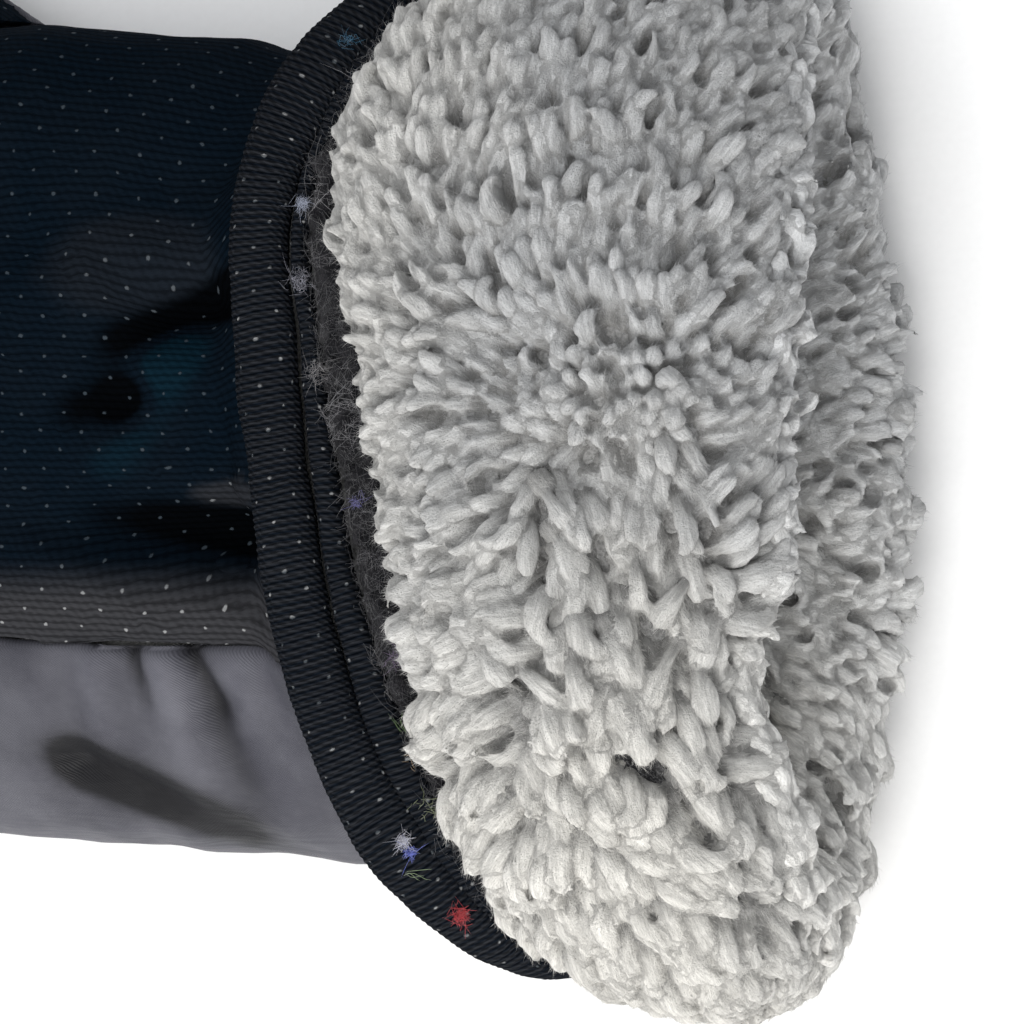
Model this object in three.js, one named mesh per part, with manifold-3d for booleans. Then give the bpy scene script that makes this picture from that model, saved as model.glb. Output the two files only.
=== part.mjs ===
// A lined winter motorcycle glove for the left hand, lying on its palm. Its fleece lining is
// pulled out of the cuff and folded back on itself, so that the pile shows outside and inside.
// Millimetres. +X points out of the cuff, the fingers point to -X, the thumb is on the +Y side
// and +Z is up. The outline is worked out from the hem's foremost point, and the whole glove is
// then set down with its origin under the middle of its box.
import * as THREE from "three";
import Module from "manifold-3d";

const wasm = await Module();
wasm.setup();

// Driving sizes
const GAP = 0.3; // left between sewn pieces
const WALL = 2.6; // knitted shell with its padding
const LINING_THICK = 7; // fleece between the shell and the hand
const LINING_CLEAR = 0.8; // left between the lining and the shell
const AROUND = 40; // points round the sleeve, and locks round the collar
const AROUND_FINGER = 12;
const AROUND_INSIDE_FINGER = 8;
const SIDE_FULLNESS = 0.84; // 1 is an ellipse, less is fuller
const FLAT_FULLNESS = 0.55; // underside, flattened where it rests
const WIDEST_AT = 0.45; // height of the widest line, as a share of a section's height
const REST_Z = 0.9; // the palm and the pile are pressed flat at this height

const HEM_WIDTH = 9.4;
const HEM_HIGH = 5;
const FACING_HIGH = 3.8;
const BRUSHED_HIGH = 3;
const LOCK_HIGH = 4; // how far a lock of pile stands off its backing
const LOCK_LEAN = 2.2; // and how far its tip leans towards the lip

// The sleeve and palm, from the finger roots to the wrist.
const HAND = [
  { x: -172, thumbSide: 53, littleSide: -54, top: 25.5, bottom: 1.2 },
  { x: -164, thumbSide: 57, littleSide: -57, top: 28.5, bottom: 0.8 },
  { x: -150, thumbSide: 58, littleSide: -58, top: 34, bottom: 0.4 },
  { x: -126, thumbSide: 58, littleSide: -57, top: 40, bottom: 0.2 },
  { x: -98, thumbSide: 61, littleSide: -54, top: 43.5, bottom: 0.2 },
  { x: -70, thumbSide: 64.5, littleSide: -53, top: 44, bottom: 0.3 },
  { x: -52, thumbSide: 64.5, littleSide: -54, top: 44.2, bottom: 0.4 },
];

// The gathered end of the sleeve. Here behind is measured back from the hem's curve.
const GATHERED = [
  { behind: 25, thumbSide: 60.5, littleSide: -56, top: 44, bottom: 0.8 },
  { behind: 15, thumbSide: 57, littleSide: -55, top: 43.5, bottom: 1.6 },
  { behind: 7, thumbSide: 57, littleSide: -57, top: 43.2, bottom: 2.6 },
  { behind: 2.5, thumbSide: 62, littleSide: -63, top: 46, bottom: 3.8 },
];

// The hem's middle line seen along the glove.
const HEM_LOOP = { thumbSide: 67, littleSide: -68, top: 50.5, bottom: 3.6 };

// Round the mouth, in degrees from the thumb side over the top: how far forward the hem's back
// edge and the lining's lip lie, and how wide the turned-in facing and the brushed edge show.
const MOUTH = [
  { around: 0, hem: 6, lip: 63, facing: 2, brushed: 4 },
  { around: 30, hem: -3, lip: 64, facing: 2, brushed: 3.6 },
  { around: 60, hem: -12, lip: 66.5, facing: 2, brushed: 3.6 },
  { around: 90, hem: -8.2, lip: 65, facing: 3.4, brushed: 6.8 },
  { around: 120, hem: -0.4, lip: 63.5, facing: 5, brushed: 5.1 },
  { around: 150, hem: 12.6, lip: 65.5, facing: 1.6, brushed: 3.4 },
  { around: 180, hem: 22.5, lip: 65, facing: 1.6, brushed: 3.6 },
  { around: 210, hem: 22, lip: 64.5, facing: 1.8, brushed: 4 },
  { around: 240, hem: 16, lip: 67, facing: 2, brushed: 4.4 },
  { around: 270, hem: 11, lip: 69.5, facing: 2, brushed: 4.6 },
  { around: 300, hem: 8, lip: 66.5, facing: 2, brushed: 4.6 },
  { around: 330, hem: 8, lip: 64, facing: 2, brushed: 4.4 },
];

// The lining pulled out: along runs from 0 at the hem to 1 at the lip.
const COLLAR_OUTSIDE = [
  { along: 0.0, half: 66, top: 51, bottom: 5 },
  { along: 0.06, half: 69, top: 55, bottom: 4.4 },
  { along: 0.2, half: 71, top: 58, bottom: 4.2 },
  { along: 0.45, half: 71.5, top: 59.5, bottom: 4.2 },
  { along: 0.7, half: 70.5, top: 58, bottom: 4.4 },
  { along: 0.88, half: 67.5, top: 54, bottom: 6.5 },
  { along: 1.0, half: 61.5, top: 47.5, bottom: 12 },
];
const COLLAR_INSIDE = [
  { along: 1.0, half: 58.5, top: 45, bottom: 14.5 },
  { along: 0.88, half: 55, top: 42, bottom: 17.2 },
  { along: 0.6, half: 52, top: 40, bottom: 17.8 },
  { along: 0.3, half: 49, top: 38.5, bottom: 16 },
];
const OUTSIDE_ROWS = 10; // rows of locks between the hem and the lip
const INSIDE_ROWS = 4; // and inside the mouth
const LINING_END = -148; // the lining stops short of the finger roots

// Valleys pressed into the top of the sleeve and of the collar, each from one point to another.
// A depth below zero is a ridge.
const SLEEVE_FOLDS = [
  { fromX: -11, fromY: 26, toX: -42, toY: 16, wide: 5.5, deep: 5 },
  { fromX: -9, fromY: -14, toX: -46, toY: -8, wide: 5, deep: 7 },
  { fromX: -10, fromY: -23, toX: -44, toY: -20, wide: 4.5, deep: -2.5 },
  { fromX: -9, fromY: 3, toX: -36, toY: 0, wide: 4, deep: 2.4 },
  { fromX: -58, fromY: 34, toX: -84, toY: 8, wide: 8, deep: 2.5 },
  { fromX: -60, fromY: -30, toX: -92, toY: -18, wide: 7, deep: 2.2 },
];
const COLLAR_FOLDS = [
  { fromX: 36, fromY: 10, toX: 55, toY: -23, wide: 6, deep: 4 },
  { fromX: 55, fromY: -23, toX: 64, toY: -42, wide: 6, deep: 6.5 },
  { fromX: 20, fromY: 38, toX: 40, toY: 12, wide: 8, deep: 2.4 },
];

const FINGERS = [
  { name: "index", rootX: -161, rootY: 42.5, splay: -6, length: 73, width: 30.5, height: 27 },
  { name: "middle", rootX: -164, rootY: 14.3, splay: -1.5, length: 82, width: 31, height: 27.5 },
  { name: "ring", rootX: -163, rootY: -14.3, splay: 3, length: 75, width: 30.5, height: 27 },
  { name: "little", rootX: -157, rootY: -42.2, splay: 8, length: 61, width: 28.5, height: 25.5 },
];
const FINGER_INTO_PALM = 24;
const FINGER_TIP = 13; // length of the rounded tip
const FINGER_TAPER = [
  { at: 0.0, width: 1.0, height: 1.0 },
  { at: 0.14, width: 0.93, height: 0.97 },
  { at: 0.5, width: 0.92, height: 0.92 },
  { at: 1.0, width: 0.9, height: 0.84 },
];

const THUMB = { width: 34, height: 29, tip: 15 };
const THUMB_LINE = [
  { x: -44, y: 32 },
  { x: -92, y: 78 },
  { x: -152, y: 89 },
];
const THUMB_SEAM = { fromX: -36, fromY: 66.5, toX: -136, toY: 57.5 };

// The seam between the knitted back and the woven palm. Round the fingers it runs at one height.
// Along the sleeve it crosses the hollow below the folds and comes out on top beside them.
const FINGER_SEAM_Z = 12;
const SLEEVE_SEAM = [
  { y: 125, z: 5 },
  { y: -14.3, z: 31 },
  { y: -26.3, z: 43 },
  { y: -63.3, z: 80 },
  { y: -95, z: 80 },
];
const SEAM_CLIMBS = { fromX: -160, toX: -78 };
const FOURCHETTE_HIGH = 10;

const mix = (a, b, t) => a + (b - a) * t;
const clamp = (v, low, high) => Math.min(high, Math.max(low, v));
const smooth = (low, high, v) => THREE.MathUtils.smoothstep(v, low, high);
const radians = THREE.MathUtils.degToRad;

// Reads a table at a place between its rows, with a curve through the rows.
function readTable(rows, key, column, at) {
  const last = rows.length - 1;
  const rising = rows[last][key] > rows[0][key];
  let i = 0;
  while (i < last - 1 && (rising ? rows[i + 1][key] < at : rows[i + 1][key] > at)) i += 1;
  const t = clamp((at - rows[i][key]) / (rows[i + 1][key] - rows[i][key]), 0, 1);
  const v = [i - 1, i, i + 1, i + 2].map((k) => rows[clamp(k, 0, last)][column]);
  return hermite(v, t);
}

function hermite([before, a, b, after], t) {
  const slopeA = (b - before) / 2;
  const slopeB = (after - a) / 2;
  const s = 1 - t;
  return a * (1 + 2 * t) * s * s + slopeA * t * s * s + b * (3 - 2 * t) * t * t - slopeB * s * t * t;
}

// Reads the table round the mouth, which closes on itself.
function readMouth(column, theta) {
  const step = (2 * Math.PI) / MOUTH.length;
  const at = theta / step;
  const i = Math.floor(at);
  const v = [i - 1, i, i + 1, i + 2].map((k) => MOUTH[(k + 2 * MOUTH.length) % MOUTH.length][column]);
  return hermite(v, at - i);
}

const sharpen = (v, power) => Math.sign(v) * Math.abs(v) ** power;

// A point on a padded section across the glove, drawn in by inset.
function sectionPoint(section, theta, inset = 0) {
  const half = (section.thumbSide - section.littleSide) / 2 - inset;
  const top = section.top - inset;
  const bottom = section.bottom + inset;
  const widest = mix(bottom, top, WIDEST_AT);
  const up = Math.sin(theta);
  const y = (section.thumbSide + section.littleSide) / 2 + half * sharpen(Math.cos(theta), SIDE_FULLNESS);
  const z =
    up > 0
      ? widest + (top - widest) * sharpen(up, SIDE_FULLNESS)
      : widest + (widest - bottom) * sharpen(up, FLAT_FULLNESS);
  return { y, z };
}

// How deep the valleys of a table press in at a place seen from above.
function foldDepth(folds, x, y) {
  let depth = 0;
  for (const f of folds) {
    const alongX = f.toX - f.fromX;
    const alongY = f.toY - f.fromY;
    const length = Math.hypot(alongX, alongY);
    const t = ((x - f.fromX) * alongX + (y - f.fromY) * alongY) / length ** 2;
    const aside = ((x - f.fromX) * alongY - (y - f.fromY) * alongX) / length;
    const past = Math.max(0, -t, t - 1) * length;
    const fade = 1 - 0.6 * clamp(t, 0, 1);
    depth += f.deep * fade * Math.exp(-((aside / f.wide) ** 2) - (past / (1.6 * f.wide)) ** 2);
  }
  return depth;
}

const angles = (count) => Array.from({ length: count }, (_, i) => (2 * Math.PI * i) / count);

// The hem's middle line, and places forward of it and out from it.
function hemPoint(theta) {
  const { y, z } = sectionPoint(HEM_LOOP, theta);
  return new THREE.Vector3(readMouth("hem", theta) + HEM_WIDTH / 2, y, z);
}
function besideHem(theta, forward, out) {
  const small = 0.03;
  const along = hemPoint(theta + small).sub(hemPoint(theta - small));
  const ahead = new THREE.Vector3(1, 0, 0);
  const outward = new THREE.Vector3().crossVectors(along, ahead).normalize();
  return hemPoint(theta).addScaledVector(ahead, forward).addScaledVector(outward, out);
}
const facingWidth = (theta) => readMouth("facing", theta);
const brushedWidth = (theta) => readMouth("brushed", theta);
const stripWidth = (theta) => HEM_WIDTH / 2 + facingWidth(theta) + brushedWidth(theta) + 3 * GAP;

// The shell's surface at a station of the sleeve, drawn in by inset.
function handRing(section, inset) {
  return angles(AROUND).map((theta) => {
    const { y, z } = sectionPoint(section, theta, inset);
    const up = Math.max(0, Math.sin(theta));
    return new THREE.Vector3(section.x, y, z - up * foldDepth(SLEEVE_FOLDS, section.x, y));
  });
}
function gatheredRing(section, inset) {
  return angles(AROUND).map((theta) => {
    const { y, z } = sectionPoint(section, theta, inset);
    const x = readMouth("hem", theta) - section.behind;
    const up = Math.max(0, Math.sin(theta));
    const press = foldDepth(SLEEVE_FOLDS, x, y) * smooth(0, 9, section.behind);
    return new THREE.Vector3(x, y, z - up * press);
  });
}

// The sleeve's last ring, tucked under the hem.
function tuckedRing(inset) {
  const under = HEM_HIGH / 2 + GAP + inset;
  return angles(AROUND).map((theta) => besideHem(theta, -HEM_WIDTH / 4, -under));
}

// The rings of the sleeve and palm, by default all of them.
function stationRing(station, inset) {
  return station.behind === undefined ? handRing(station, inset) : gatheredRing(station, inset);
}
function sleeveRings(inset, stations = [...HAND, ...GATHERED]) {
  return [...stations.map((station) => stationRing(station, inset)), tuckedRing(inset)];
}

// A closed skin through rings of points, with flat ends or, as a hoop, joined end to start.
function skin(rings, hoop = false) {
  const count = rings[0].length;
  const points = rings.flat();
  const faces = [];
  const lastRing = hoop ? rings.length : rings.length - 1;
  for (let r = 0; r < lastRing; r += 1) {
    for (let i = 0; i < count; i += 1) {
      const a = r * count + i;
      const b = r * count + ((i + 1) % count);
      const c = ((r + 1) % rings.length) * count + i;
      const d = ((r + 1) % rings.length) * count + ((i + 1) % count);
      faces.push([a, b, d], [a, d, c]);
    }
  }
  if (!hoop) {
    for (const r of [0, rings.length - 1]) {
      const middle = new THREE.Vector3();
      rings[r].forEach((p) => middle.addScaledVector(p, 1 / count));
      const centre = points.push(middle) - 1;
      for (let i = 0; i < count; i += 1) {
        const a = r * count + i;
        const b = r * count + ((i + 1) % count);
        faces.push(r === 0 ? [centre, b, a] : [centre, a, b]);
      }
    }
  }
  return { points, faces };
}

// A solid for joining and cutting, turned the right way out.
function solidOf({ points, faces }) {
  const vertProperties = new Float32Array(points.flatMap((p) => [p.x, p.y, p.z]));
  const make = (list) =>
    new wasm.Manifold(new wasm.Mesh({ numProp: 3, vertProperties, triVerts: new Uint32Array(list.flat()) }));
  const made = make(faces);
  return made.volume() > 0 ? made : make(faces.map(([a, b, c]) => [a, c, b]));
}
const loft = (rings) => solidOf(skin(rings));
const join = (solids) => solids.reduce((all, one) => all.add(one));

// An upright prism over an outline seen from above.
function prism(outline, bottom, top) {
  const shape = new THREE.Shape(outline.map(({ x, y }) => new THREE.Vector2(x, y)));
  const made = new THREE.ExtrudeGeometry(shape, { depth: top - bottom, bevelEnabled: false });
  made.translate(0, 0, bottom);
  const position = made.getAttribute("position");
  const points = [];
  const index = new Map();
  const corner = (i) => {
    const p = new THREE.Vector3().fromBufferAttribute(position, i);
    const key = p.toArray().map((v) => v.toFixed(4)).join();
    if (!index.has(key)) index.set(key, points.push(p) - 1);
    return index.get(key);
  };
  const faces = [];
  for (let i = 0; i < position.count; i += 3) faces.push([corner(i), corner(i + 1), corner(i + 2)]);
  return solidOf({ points, faces });
}

// One finger, as rings from inside the palm to the rounded tip.
function fingerAxis(finger) {
  const angle = radians(180 + finger.splay);
  return new THREE.Vector2(Math.cos(angle), Math.sin(angle));
}
function tubeRing(centre, along, width, height, bottom, count) {
  const across = new THREE.Vector2(-along.y, along.x);
  return angles(count).map((theta) => {
    const aside = (width / 2) * sharpen(Math.cos(theta), SIDE_FULLNESS);
    const z = bottom + (height / 2) * (1 + sharpen(Math.sin(theta), SIDE_FULLNESS));
    return new THREE.Vector3(centre.x + across.x * aside, centre.y + across.y * aside, z);
  });
}
const TIP_STEPS = [0, 0.45, 0.75, 0.93];
function fingerRings(finger, inset, count) {
  const along = fingerAxis(finger);
  const straight = finger.length - FINGER_TIP;
  const ringAt = (distance, shrink) => {
    const share = clamp(distance / straight, 0, 1);
    const width = finger.width * readTable(FINGER_TAPER, "at", "width", share) - 2 * inset;
    const height = finger.height * readTable(FINGER_TAPER, "at", "height", share) - 2 * inset;
    const centre = new THREE.Vector2(finger.rootX, finger.rootY).addScaledVector(along, distance);
    const lift = 0.8 + inset + (height / 2) * (1 - shrink) * 0.8;
    return tubeRing(centre, along, width * shrink, height * shrink, lift, count);
  };
  const body = [-FINGER_INTO_PALM, 0, 0.16 * straight, 0.5 * straight];
  const tip = TIP_STEPS.map((s) => [straight + (FINGER_TIP - inset) * s, Math.sqrt(1 - s ** 2.4)]);
  return [...body.map((d) => ringAt(d, 1)), ...tip.map(([d, shrink]) => ringAt(d, shrink))];
}

// The thumb bends along its own line.
function thumbRings(inset, count) {
  const [a, b, c] = THUMB_LINE.map(({ x, y }) => new THREE.Vector2(x, y));
  const line = new THREE.QuadraticBezierCurve(a, b, c);
  const straight = 1 - THUMB.tip / line.getLength();
  const roundTo = 1 - inset / line.getLength();
  const body = [0, 0.22, 0.45, 0.68].map((t) => [t, 1]);
  const tip = TIP_STEPS.map((s) => [mix(straight, roundTo, s), Math.sqrt(1 - s ** 2.4)]);
  return [...body, ...tip].map(([t, shrink]) => {
    const width = THUMB.width * mix(1.04, 0.9, t) - 2 * inset;
    const height = THUMB.height * mix(1.06, 0.84, t) - 2 * inset;
    const lift = 0.8 + inset + (height / 2) * (1 - shrink) * 0.8;
    return tubeRing(line.getPointAt(t), line.getTangentAt(t), width * shrink, height * shrink, lift, count);
  });
}

// The whole shell as one hollow wall, open at the hem and flat where it rests.
function shellWall() {
  const digits = (inset, count) => [
    ...FINGERS.map((finger) => loft(fingerRings(finger, inset, count))),
    loft(thumbRings(inset, count)),
  ];
  const floor = [
    { x: -300, y: -150 },
    { x: 150, y: -150 },
    { x: 150, y: 150 },
    { x: -300, y: 150 },
  ];
  const rounded = join([loft(sleeveRings(0)), ...digits(0, AROUND_FINGER)]);
  const outside = rounded.subtract(prism(floor, -9, REST_Z));
  const pastHem = angles(AROUND).map((theta) => besideHem(theta, 6, -HEM_HIGH / 2 - WALL - GAP));
  const palmInside = sleeveRings(WALL);
  const inside = join([loft([...palmInside.slice(1), pastHem]), ...digits(WALL, AROUND_INSIDE_FINGER)]);
  return outside.subtract(inside);
}

// Everything above the seam, or below it, as a solid with a curved face.
function sideOfSeam(above) {
  const columns = [-270, -160, -140, -126, -112, -98, -78, 60];
  const far = above ? 95 : -20;
  const lift = (above ? 1 : -1) * (GAP / 2) * Math.SQRT2;
  const sides = [SLEEVE_SEAM[SLEEVE_SEAM.length - 1].y, SLEEVE_SEAM[0].y];
  const rings = columns.map((x) => {
    const climbed = smooth(SEAM_CLIMBS.fromX, SEAM_CLIMBS.toX, x);
    const seam = SLEEVE_SEAM.map(({ y, z }) => {
      return new THREE.Vector3(x, y, mix(FINGER_SEAM_Z, z, climbed) + lift);
    });
    return [...seam, ...sides.map((y) => new THREE.Vector3(x, y, far))];
  });
  return loft(rings);
}

// Strips between neighbouring fingers, from web to tips.
function fourchetteRoom(first, second, grow) {
  const reach = 8; // past the finger tips
  const web = 16; // the strip starts this far behind the roots
  const [a, b] = [first, second].map((finger) => {
    const along = fingerAxis(finger);
    const root = new THREE.Vector2(finger.rootX, finger.rootY);
    return [root.clone().addScaledVector(along, -web), root.addScaledVector(along, finger.length + reach)];
  });
  const aside = GAP / 2 - grow;
  const outline = [
    { x: a[0].x + grow, y: a[0].y - aside },
    { x: a[1].x, y: a[1].y - aside },
    { x: b[1].x, y: b[1].y + aside },
    { x: b[0].x + grow, y: b[0].y + aside },
  ];
  const half = FOURCHETTE_HIGH / 2 + grow;
  return prism(outline, FINGER_SEAM_Z - half, FINGER_SEAM_Z + half);
}

// The thumb's own panels start at a seam along the palm's edge.
function thumbRoom(grow) {
  const s = THUMB_SEAM;
  const slope = (s.toY - s.fromY) / (s.toX - s.fromX);
  const lineY = (x) => s.fromY + slope * (x - s.fromX) - grow;
  const [near, far, side] = [-20, -175, 125];
  const outline = [
    { x: near, y: lineY(near) },
    { x: near, y: side },
    { x: far, y: side },
    { x: far, y: lineY(far) },
  ];
  return prism(outline, -20, 90);
}

// A rounded band swept round the mouth beside the hem's middle line.
function mouthBand(widthAt, high, startAt, sink, corners) {
  const sections = angles(corners).map((a) => a + Math.PI / corners);
  const rings = angles(AROUND).map((theta) => {
    const half = widthAt(theta) / 2;
    return sections.map((a) => {
      const forward = startAt(theta) + half + half * sharpen(Math.cos(a), 0.7);
      return besideHem(theta, forward, (high / 2) * sharpen(Math.sin(a), 0.8) - sink);
    });
  });
  return solidOf(skin(rings, true));
}
const hemBand = mouthBand(() => HEM_WIDTH, HEM_HIGH, () => -HEM_WIDTH / 2, 0, 6);
const facingBand = mouthBand(facingWidth, FACING_HIGH, () => HEM_WIDTH / 2 + GAP, 0.7, 5);
const brushedStart = (theta) => HEM_WIDTH / 2 + facingWidth(theta) + 2 * GAP;
const brushedBand = mouthBand(brushedWidth, BRUSHED_HIGH, brushedStart, 0.9, 5);

// A ring of the pulled-out lining. Its place runs from the brushed edge to the lip.
function collarRing(row) {
  const section = { thumbSide: row.half, littleSide: -row.half, top: row.top, bottom: row.bottom };
  return angles(AROUND).map((theta) => {
    const edge = besideHem(theta, stripWidth(theta) + 0.4, -0.5);
    const x = mix(edge.x, readMouth("lip", theta), row.along);
    const { y, z } = sectionPoint(section, theta);
    const press = Math.max(0, Math.sin(theta)) * foldDepth(COLLAR_FOLDS, x, y) * (row.inside ? 0.3 : 1);
    return edge.lerp(new THREE.Vector3(x, y, z - press), smooth(0, 0.25, row.along));
  });
}

// Rows of a collar table spread evenly for the locks.
function spreadRows(table, count, inside) {
  const rows = [];
  for (let i = 0; i <= count; i += 1) {
    const along = mix(table[0].along, table[table.length - 1].along, i / count);
    const read = (column) => readTable(table, "along", column, along);
    rows.push({ along, half: read("half"), top: read("top"), bottom: read("bottom"), inside });
  }
  return rows;
}

// The lining's far end, by the finger roots.
function liningEnd() {
  const end = { x: LINING_END };
  for (const column of ["thumbSide", "littleSide", "top", "bottom"]) {
    end[column] = readTable(HAND, "x", column, LINING_END);
  }
  return end;
}

// The lining is one hoop: out of the hem, round the lip, back in, and along the palm. The rows
// between the hem and the inside of the mouth carry locks of pile, each a leaning point.
function fleeceLining() {
  const outside = spreadRows(COLLAR_OUTSIDE, OUTSIDE_ROWS, false);
  const inside = spreadRows(COLLAR_INSIDE, INSIDE_ROWS, true);
  const piled = [...outside, ...inside].map((row) => collarRing(row));
  const stations = [liningEnd(), ...HAND.filter((s) => s.x > LINING_END), ...GATHERED];
  const shellSide = sleeveRings(WALL + LINING_CLEAR, stations);
  const everyOther = stations.slice(0, -2).filter((s, i) => i % 2 === 0);
  const handSide = everyOther.map((s) => stationRing(s, WALL + LINING_CLEAR + LINING_THICK)).reverse();
  const under = HEM_HIGH / 2 + GAP + WALL + LINING_CLEAR;
  const rise = angles(AROUND).map((theta) => besideHem(theta, stripWidth(theta) - 1, -under + 1.5));
  const made = skin([...piled, ...handSide, ...shellSide, rise], true);
  addLocks(made, piled.length - 1);
  return solidOf(made);
}

// Each pair of faces in the piled rows becomes a lock, with its point off the backing.
function addLocks(made, rows) {
  const count = AROUND;
  const locks = made.faces.splice(0, rows * count * 2);
  for (let i = 0; i < locks.length; i += 2) {
    const [a, b, d] = locks[i];
    const c = locks[i + 1][2];
    const [pa, pb, pc, pd] = [a, b, c, d].map((k) => made.points[k]);
    const middle = new THREE.Vector3().add(pa).add(pb).add(pc).add(pd).multiplyScalar(0.25);
    const along = pc.clone().sub(pa).add(pd).sub(pb);
    const across = pb.clone().sub(pa).add(pd).sub(pc);
    const out = new THREE.Vector3().crossVectors(across, along).normalize();
    middle.addScaledVector(out, LOCK_HIGH).addScaledVector(along.normalize(), LOCK_LEAN);
    middle.z = Math.max(middle.z, REST_Z);
    const tip = made.points.push(middle) - 1;
    made.faces.push([a, b, tip], [b, d, tip], [d, c, tip], [c, a, tip]);
  }
}

// The largest body of a solid, without slivers left by cutting.
function mainBody(solid) {
  const bodies = solid.decompose();
  return bodies.reduce((best, one) => (one.volume() > best.volume() ? one : best));
}

const group = new THREE.Group();
function addPiece(name, solid, look) {
  const mesh = mainBody(solid).getMesh();
  const geometry = new THREE.BufferGeometry();
  const positions = new Float32Array((mesh.vertProperties.length / mesh.numProp) * 3);
  for (let i = 0; i < positions.length / 3; i += 1) {
    for (let k = 0; k < 3; k += 1) positions[3 * i + k] = mesh.vertProperties[i * mesh.numProp + k];
  }
  geometry.setAttribute("position", new THREE.BufferAttribute(positions, 3));
  geometry.setIndex(Array.from(mesh.triVerts));
  geometry.computeVertexNormals();
  const piece = new THREE.Mesh(geometry, look);
  piece.name = name;
  group.add(piece);
}

const cloth = (color, roughness) => new THREE.MeshStandardMaterial({ color, roughness, metalness: 0 });
const blackKnit = cloth(0x17181b, 0.85);
const greyWoven = cloth(0x5b5b61, 0.5);
const brushedPile = cloth(0x35343a, 0.95);
const fleecePile = cloth(0xd3d1cb, 0.95);

const wall = shellWall();
const above = sideOfSeam(true);
const below = sideOfSeam(false);
const pairs = [0, 1, 2].map((i) => [FINGERS[i], FINGERS[i + 1]]);
const strips = join(pairs.map(([a, b]) => fourchetteRoom(a, b, GAP)));
const panels = wall.subtract(strips);
const handPart = panels.subtract(thumbRoom(GAP / 2));
const thumbPart = wall.intersect(thumbRoom(-GAP / 2));

addPiece("back_panel", handPart.intersect(above), blackKnit);
addPiece("palm_panel", handPart.intersect(below), greyWoven);
addPiece("thumb_back", thumbPart.intersect(above), blackKnit);
addPiece("thumb_palm", thumbPart.intersect(below), greyWoven);
for (const [a, b] of pairs) {
  addPiece(`fourchette_${a.name}_${b.name}`, wall.intersect(fourchetteRoom(a, b, 0)), blackKnit);
}
addPiece("cuff_hem", hemBand, blackKnit);
addPiece("hem_facing", facingBand, blackKnit);
addPiece("brushed_edge", brushedBand, brushedPile);
addPiece("fleece_lining", fleeceLining(), fleecePile);

const box = new THREE.Box3().setFromObject(group);
const middle = box.getCenter(new THREE.Vector3());
group.position.set(-middle.x, -middle.y, -box.min.z);

export default group;
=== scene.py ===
# A lined winter glove for the left hand, lying on its palm with its fleece pulled out of the cuff.
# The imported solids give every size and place. This script dresses them: knitted and woven panels,
# the ribbed hem, the brushed edge with its lint, and the fleece's backing, locks and loose fibres.
import math

import bpy
import numpy as np
from mathutils import Matrix, Vector
from mathutils.bvhtree import BVHTree
from mathutils.kdtree import KDTree


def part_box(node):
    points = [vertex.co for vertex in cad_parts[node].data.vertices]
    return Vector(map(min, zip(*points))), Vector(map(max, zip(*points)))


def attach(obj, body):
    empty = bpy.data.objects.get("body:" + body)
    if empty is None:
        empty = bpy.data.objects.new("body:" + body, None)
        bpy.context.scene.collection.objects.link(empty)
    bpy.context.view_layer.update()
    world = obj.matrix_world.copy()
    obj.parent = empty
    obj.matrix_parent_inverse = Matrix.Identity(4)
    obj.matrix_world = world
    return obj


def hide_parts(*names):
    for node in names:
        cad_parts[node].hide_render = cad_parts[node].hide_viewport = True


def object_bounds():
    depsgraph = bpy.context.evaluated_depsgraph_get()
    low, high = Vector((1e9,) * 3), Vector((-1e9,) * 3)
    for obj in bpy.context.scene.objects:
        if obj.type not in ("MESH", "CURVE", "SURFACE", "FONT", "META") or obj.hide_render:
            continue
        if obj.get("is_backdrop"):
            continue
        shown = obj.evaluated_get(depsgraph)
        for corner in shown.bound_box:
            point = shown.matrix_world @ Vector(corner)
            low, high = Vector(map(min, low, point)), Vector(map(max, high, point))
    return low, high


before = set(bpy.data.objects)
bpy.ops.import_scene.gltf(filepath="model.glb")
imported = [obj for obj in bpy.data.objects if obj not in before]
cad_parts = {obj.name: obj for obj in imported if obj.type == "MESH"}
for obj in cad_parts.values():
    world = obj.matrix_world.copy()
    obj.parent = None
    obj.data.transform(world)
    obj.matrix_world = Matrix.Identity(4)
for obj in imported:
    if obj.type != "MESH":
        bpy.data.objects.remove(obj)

CAD_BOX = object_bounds()
MM = 0.001
chance = np.random.default_rng(11)


def rows(names, *values):
    """A table as one dict for each row, with its keys given once."""
    return [dict(zip(names.split(), row)) for row in values]


# The glove's own frame is in mm from the hem's middle. It is found again from the solids.
LINING_END = -148.0
HEM_MIDDLE_Y = -0.5
REST_Z = 0.9
hem_low, hem_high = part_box("cuff_hem")
lining_low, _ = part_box("fleece_lining")
ORIGIN = np.array(
    (
        lining_low[0] - LINING_END * MM,
        (hem_low[1] + hem_high[1]) / 2 - HEM_MIDDLE_Y * MM,
        -REST_Z * MM,
    )
)

# The photograph's view, in the glove's frame.
VIEW_TILT = math.radians(22)  # from straight down, leaning towards the mouth
VIEW_TARGET = (28.3, -6.4, 45.0)
VIEW_DISTANCE = 600.0
FRAME_WIDTH = 136.5  # seen across at the target
SENSOR = 36.0
NEAREST_SEEN, FARTHEST_SEEN = 0.01, 20  # in m

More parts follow.
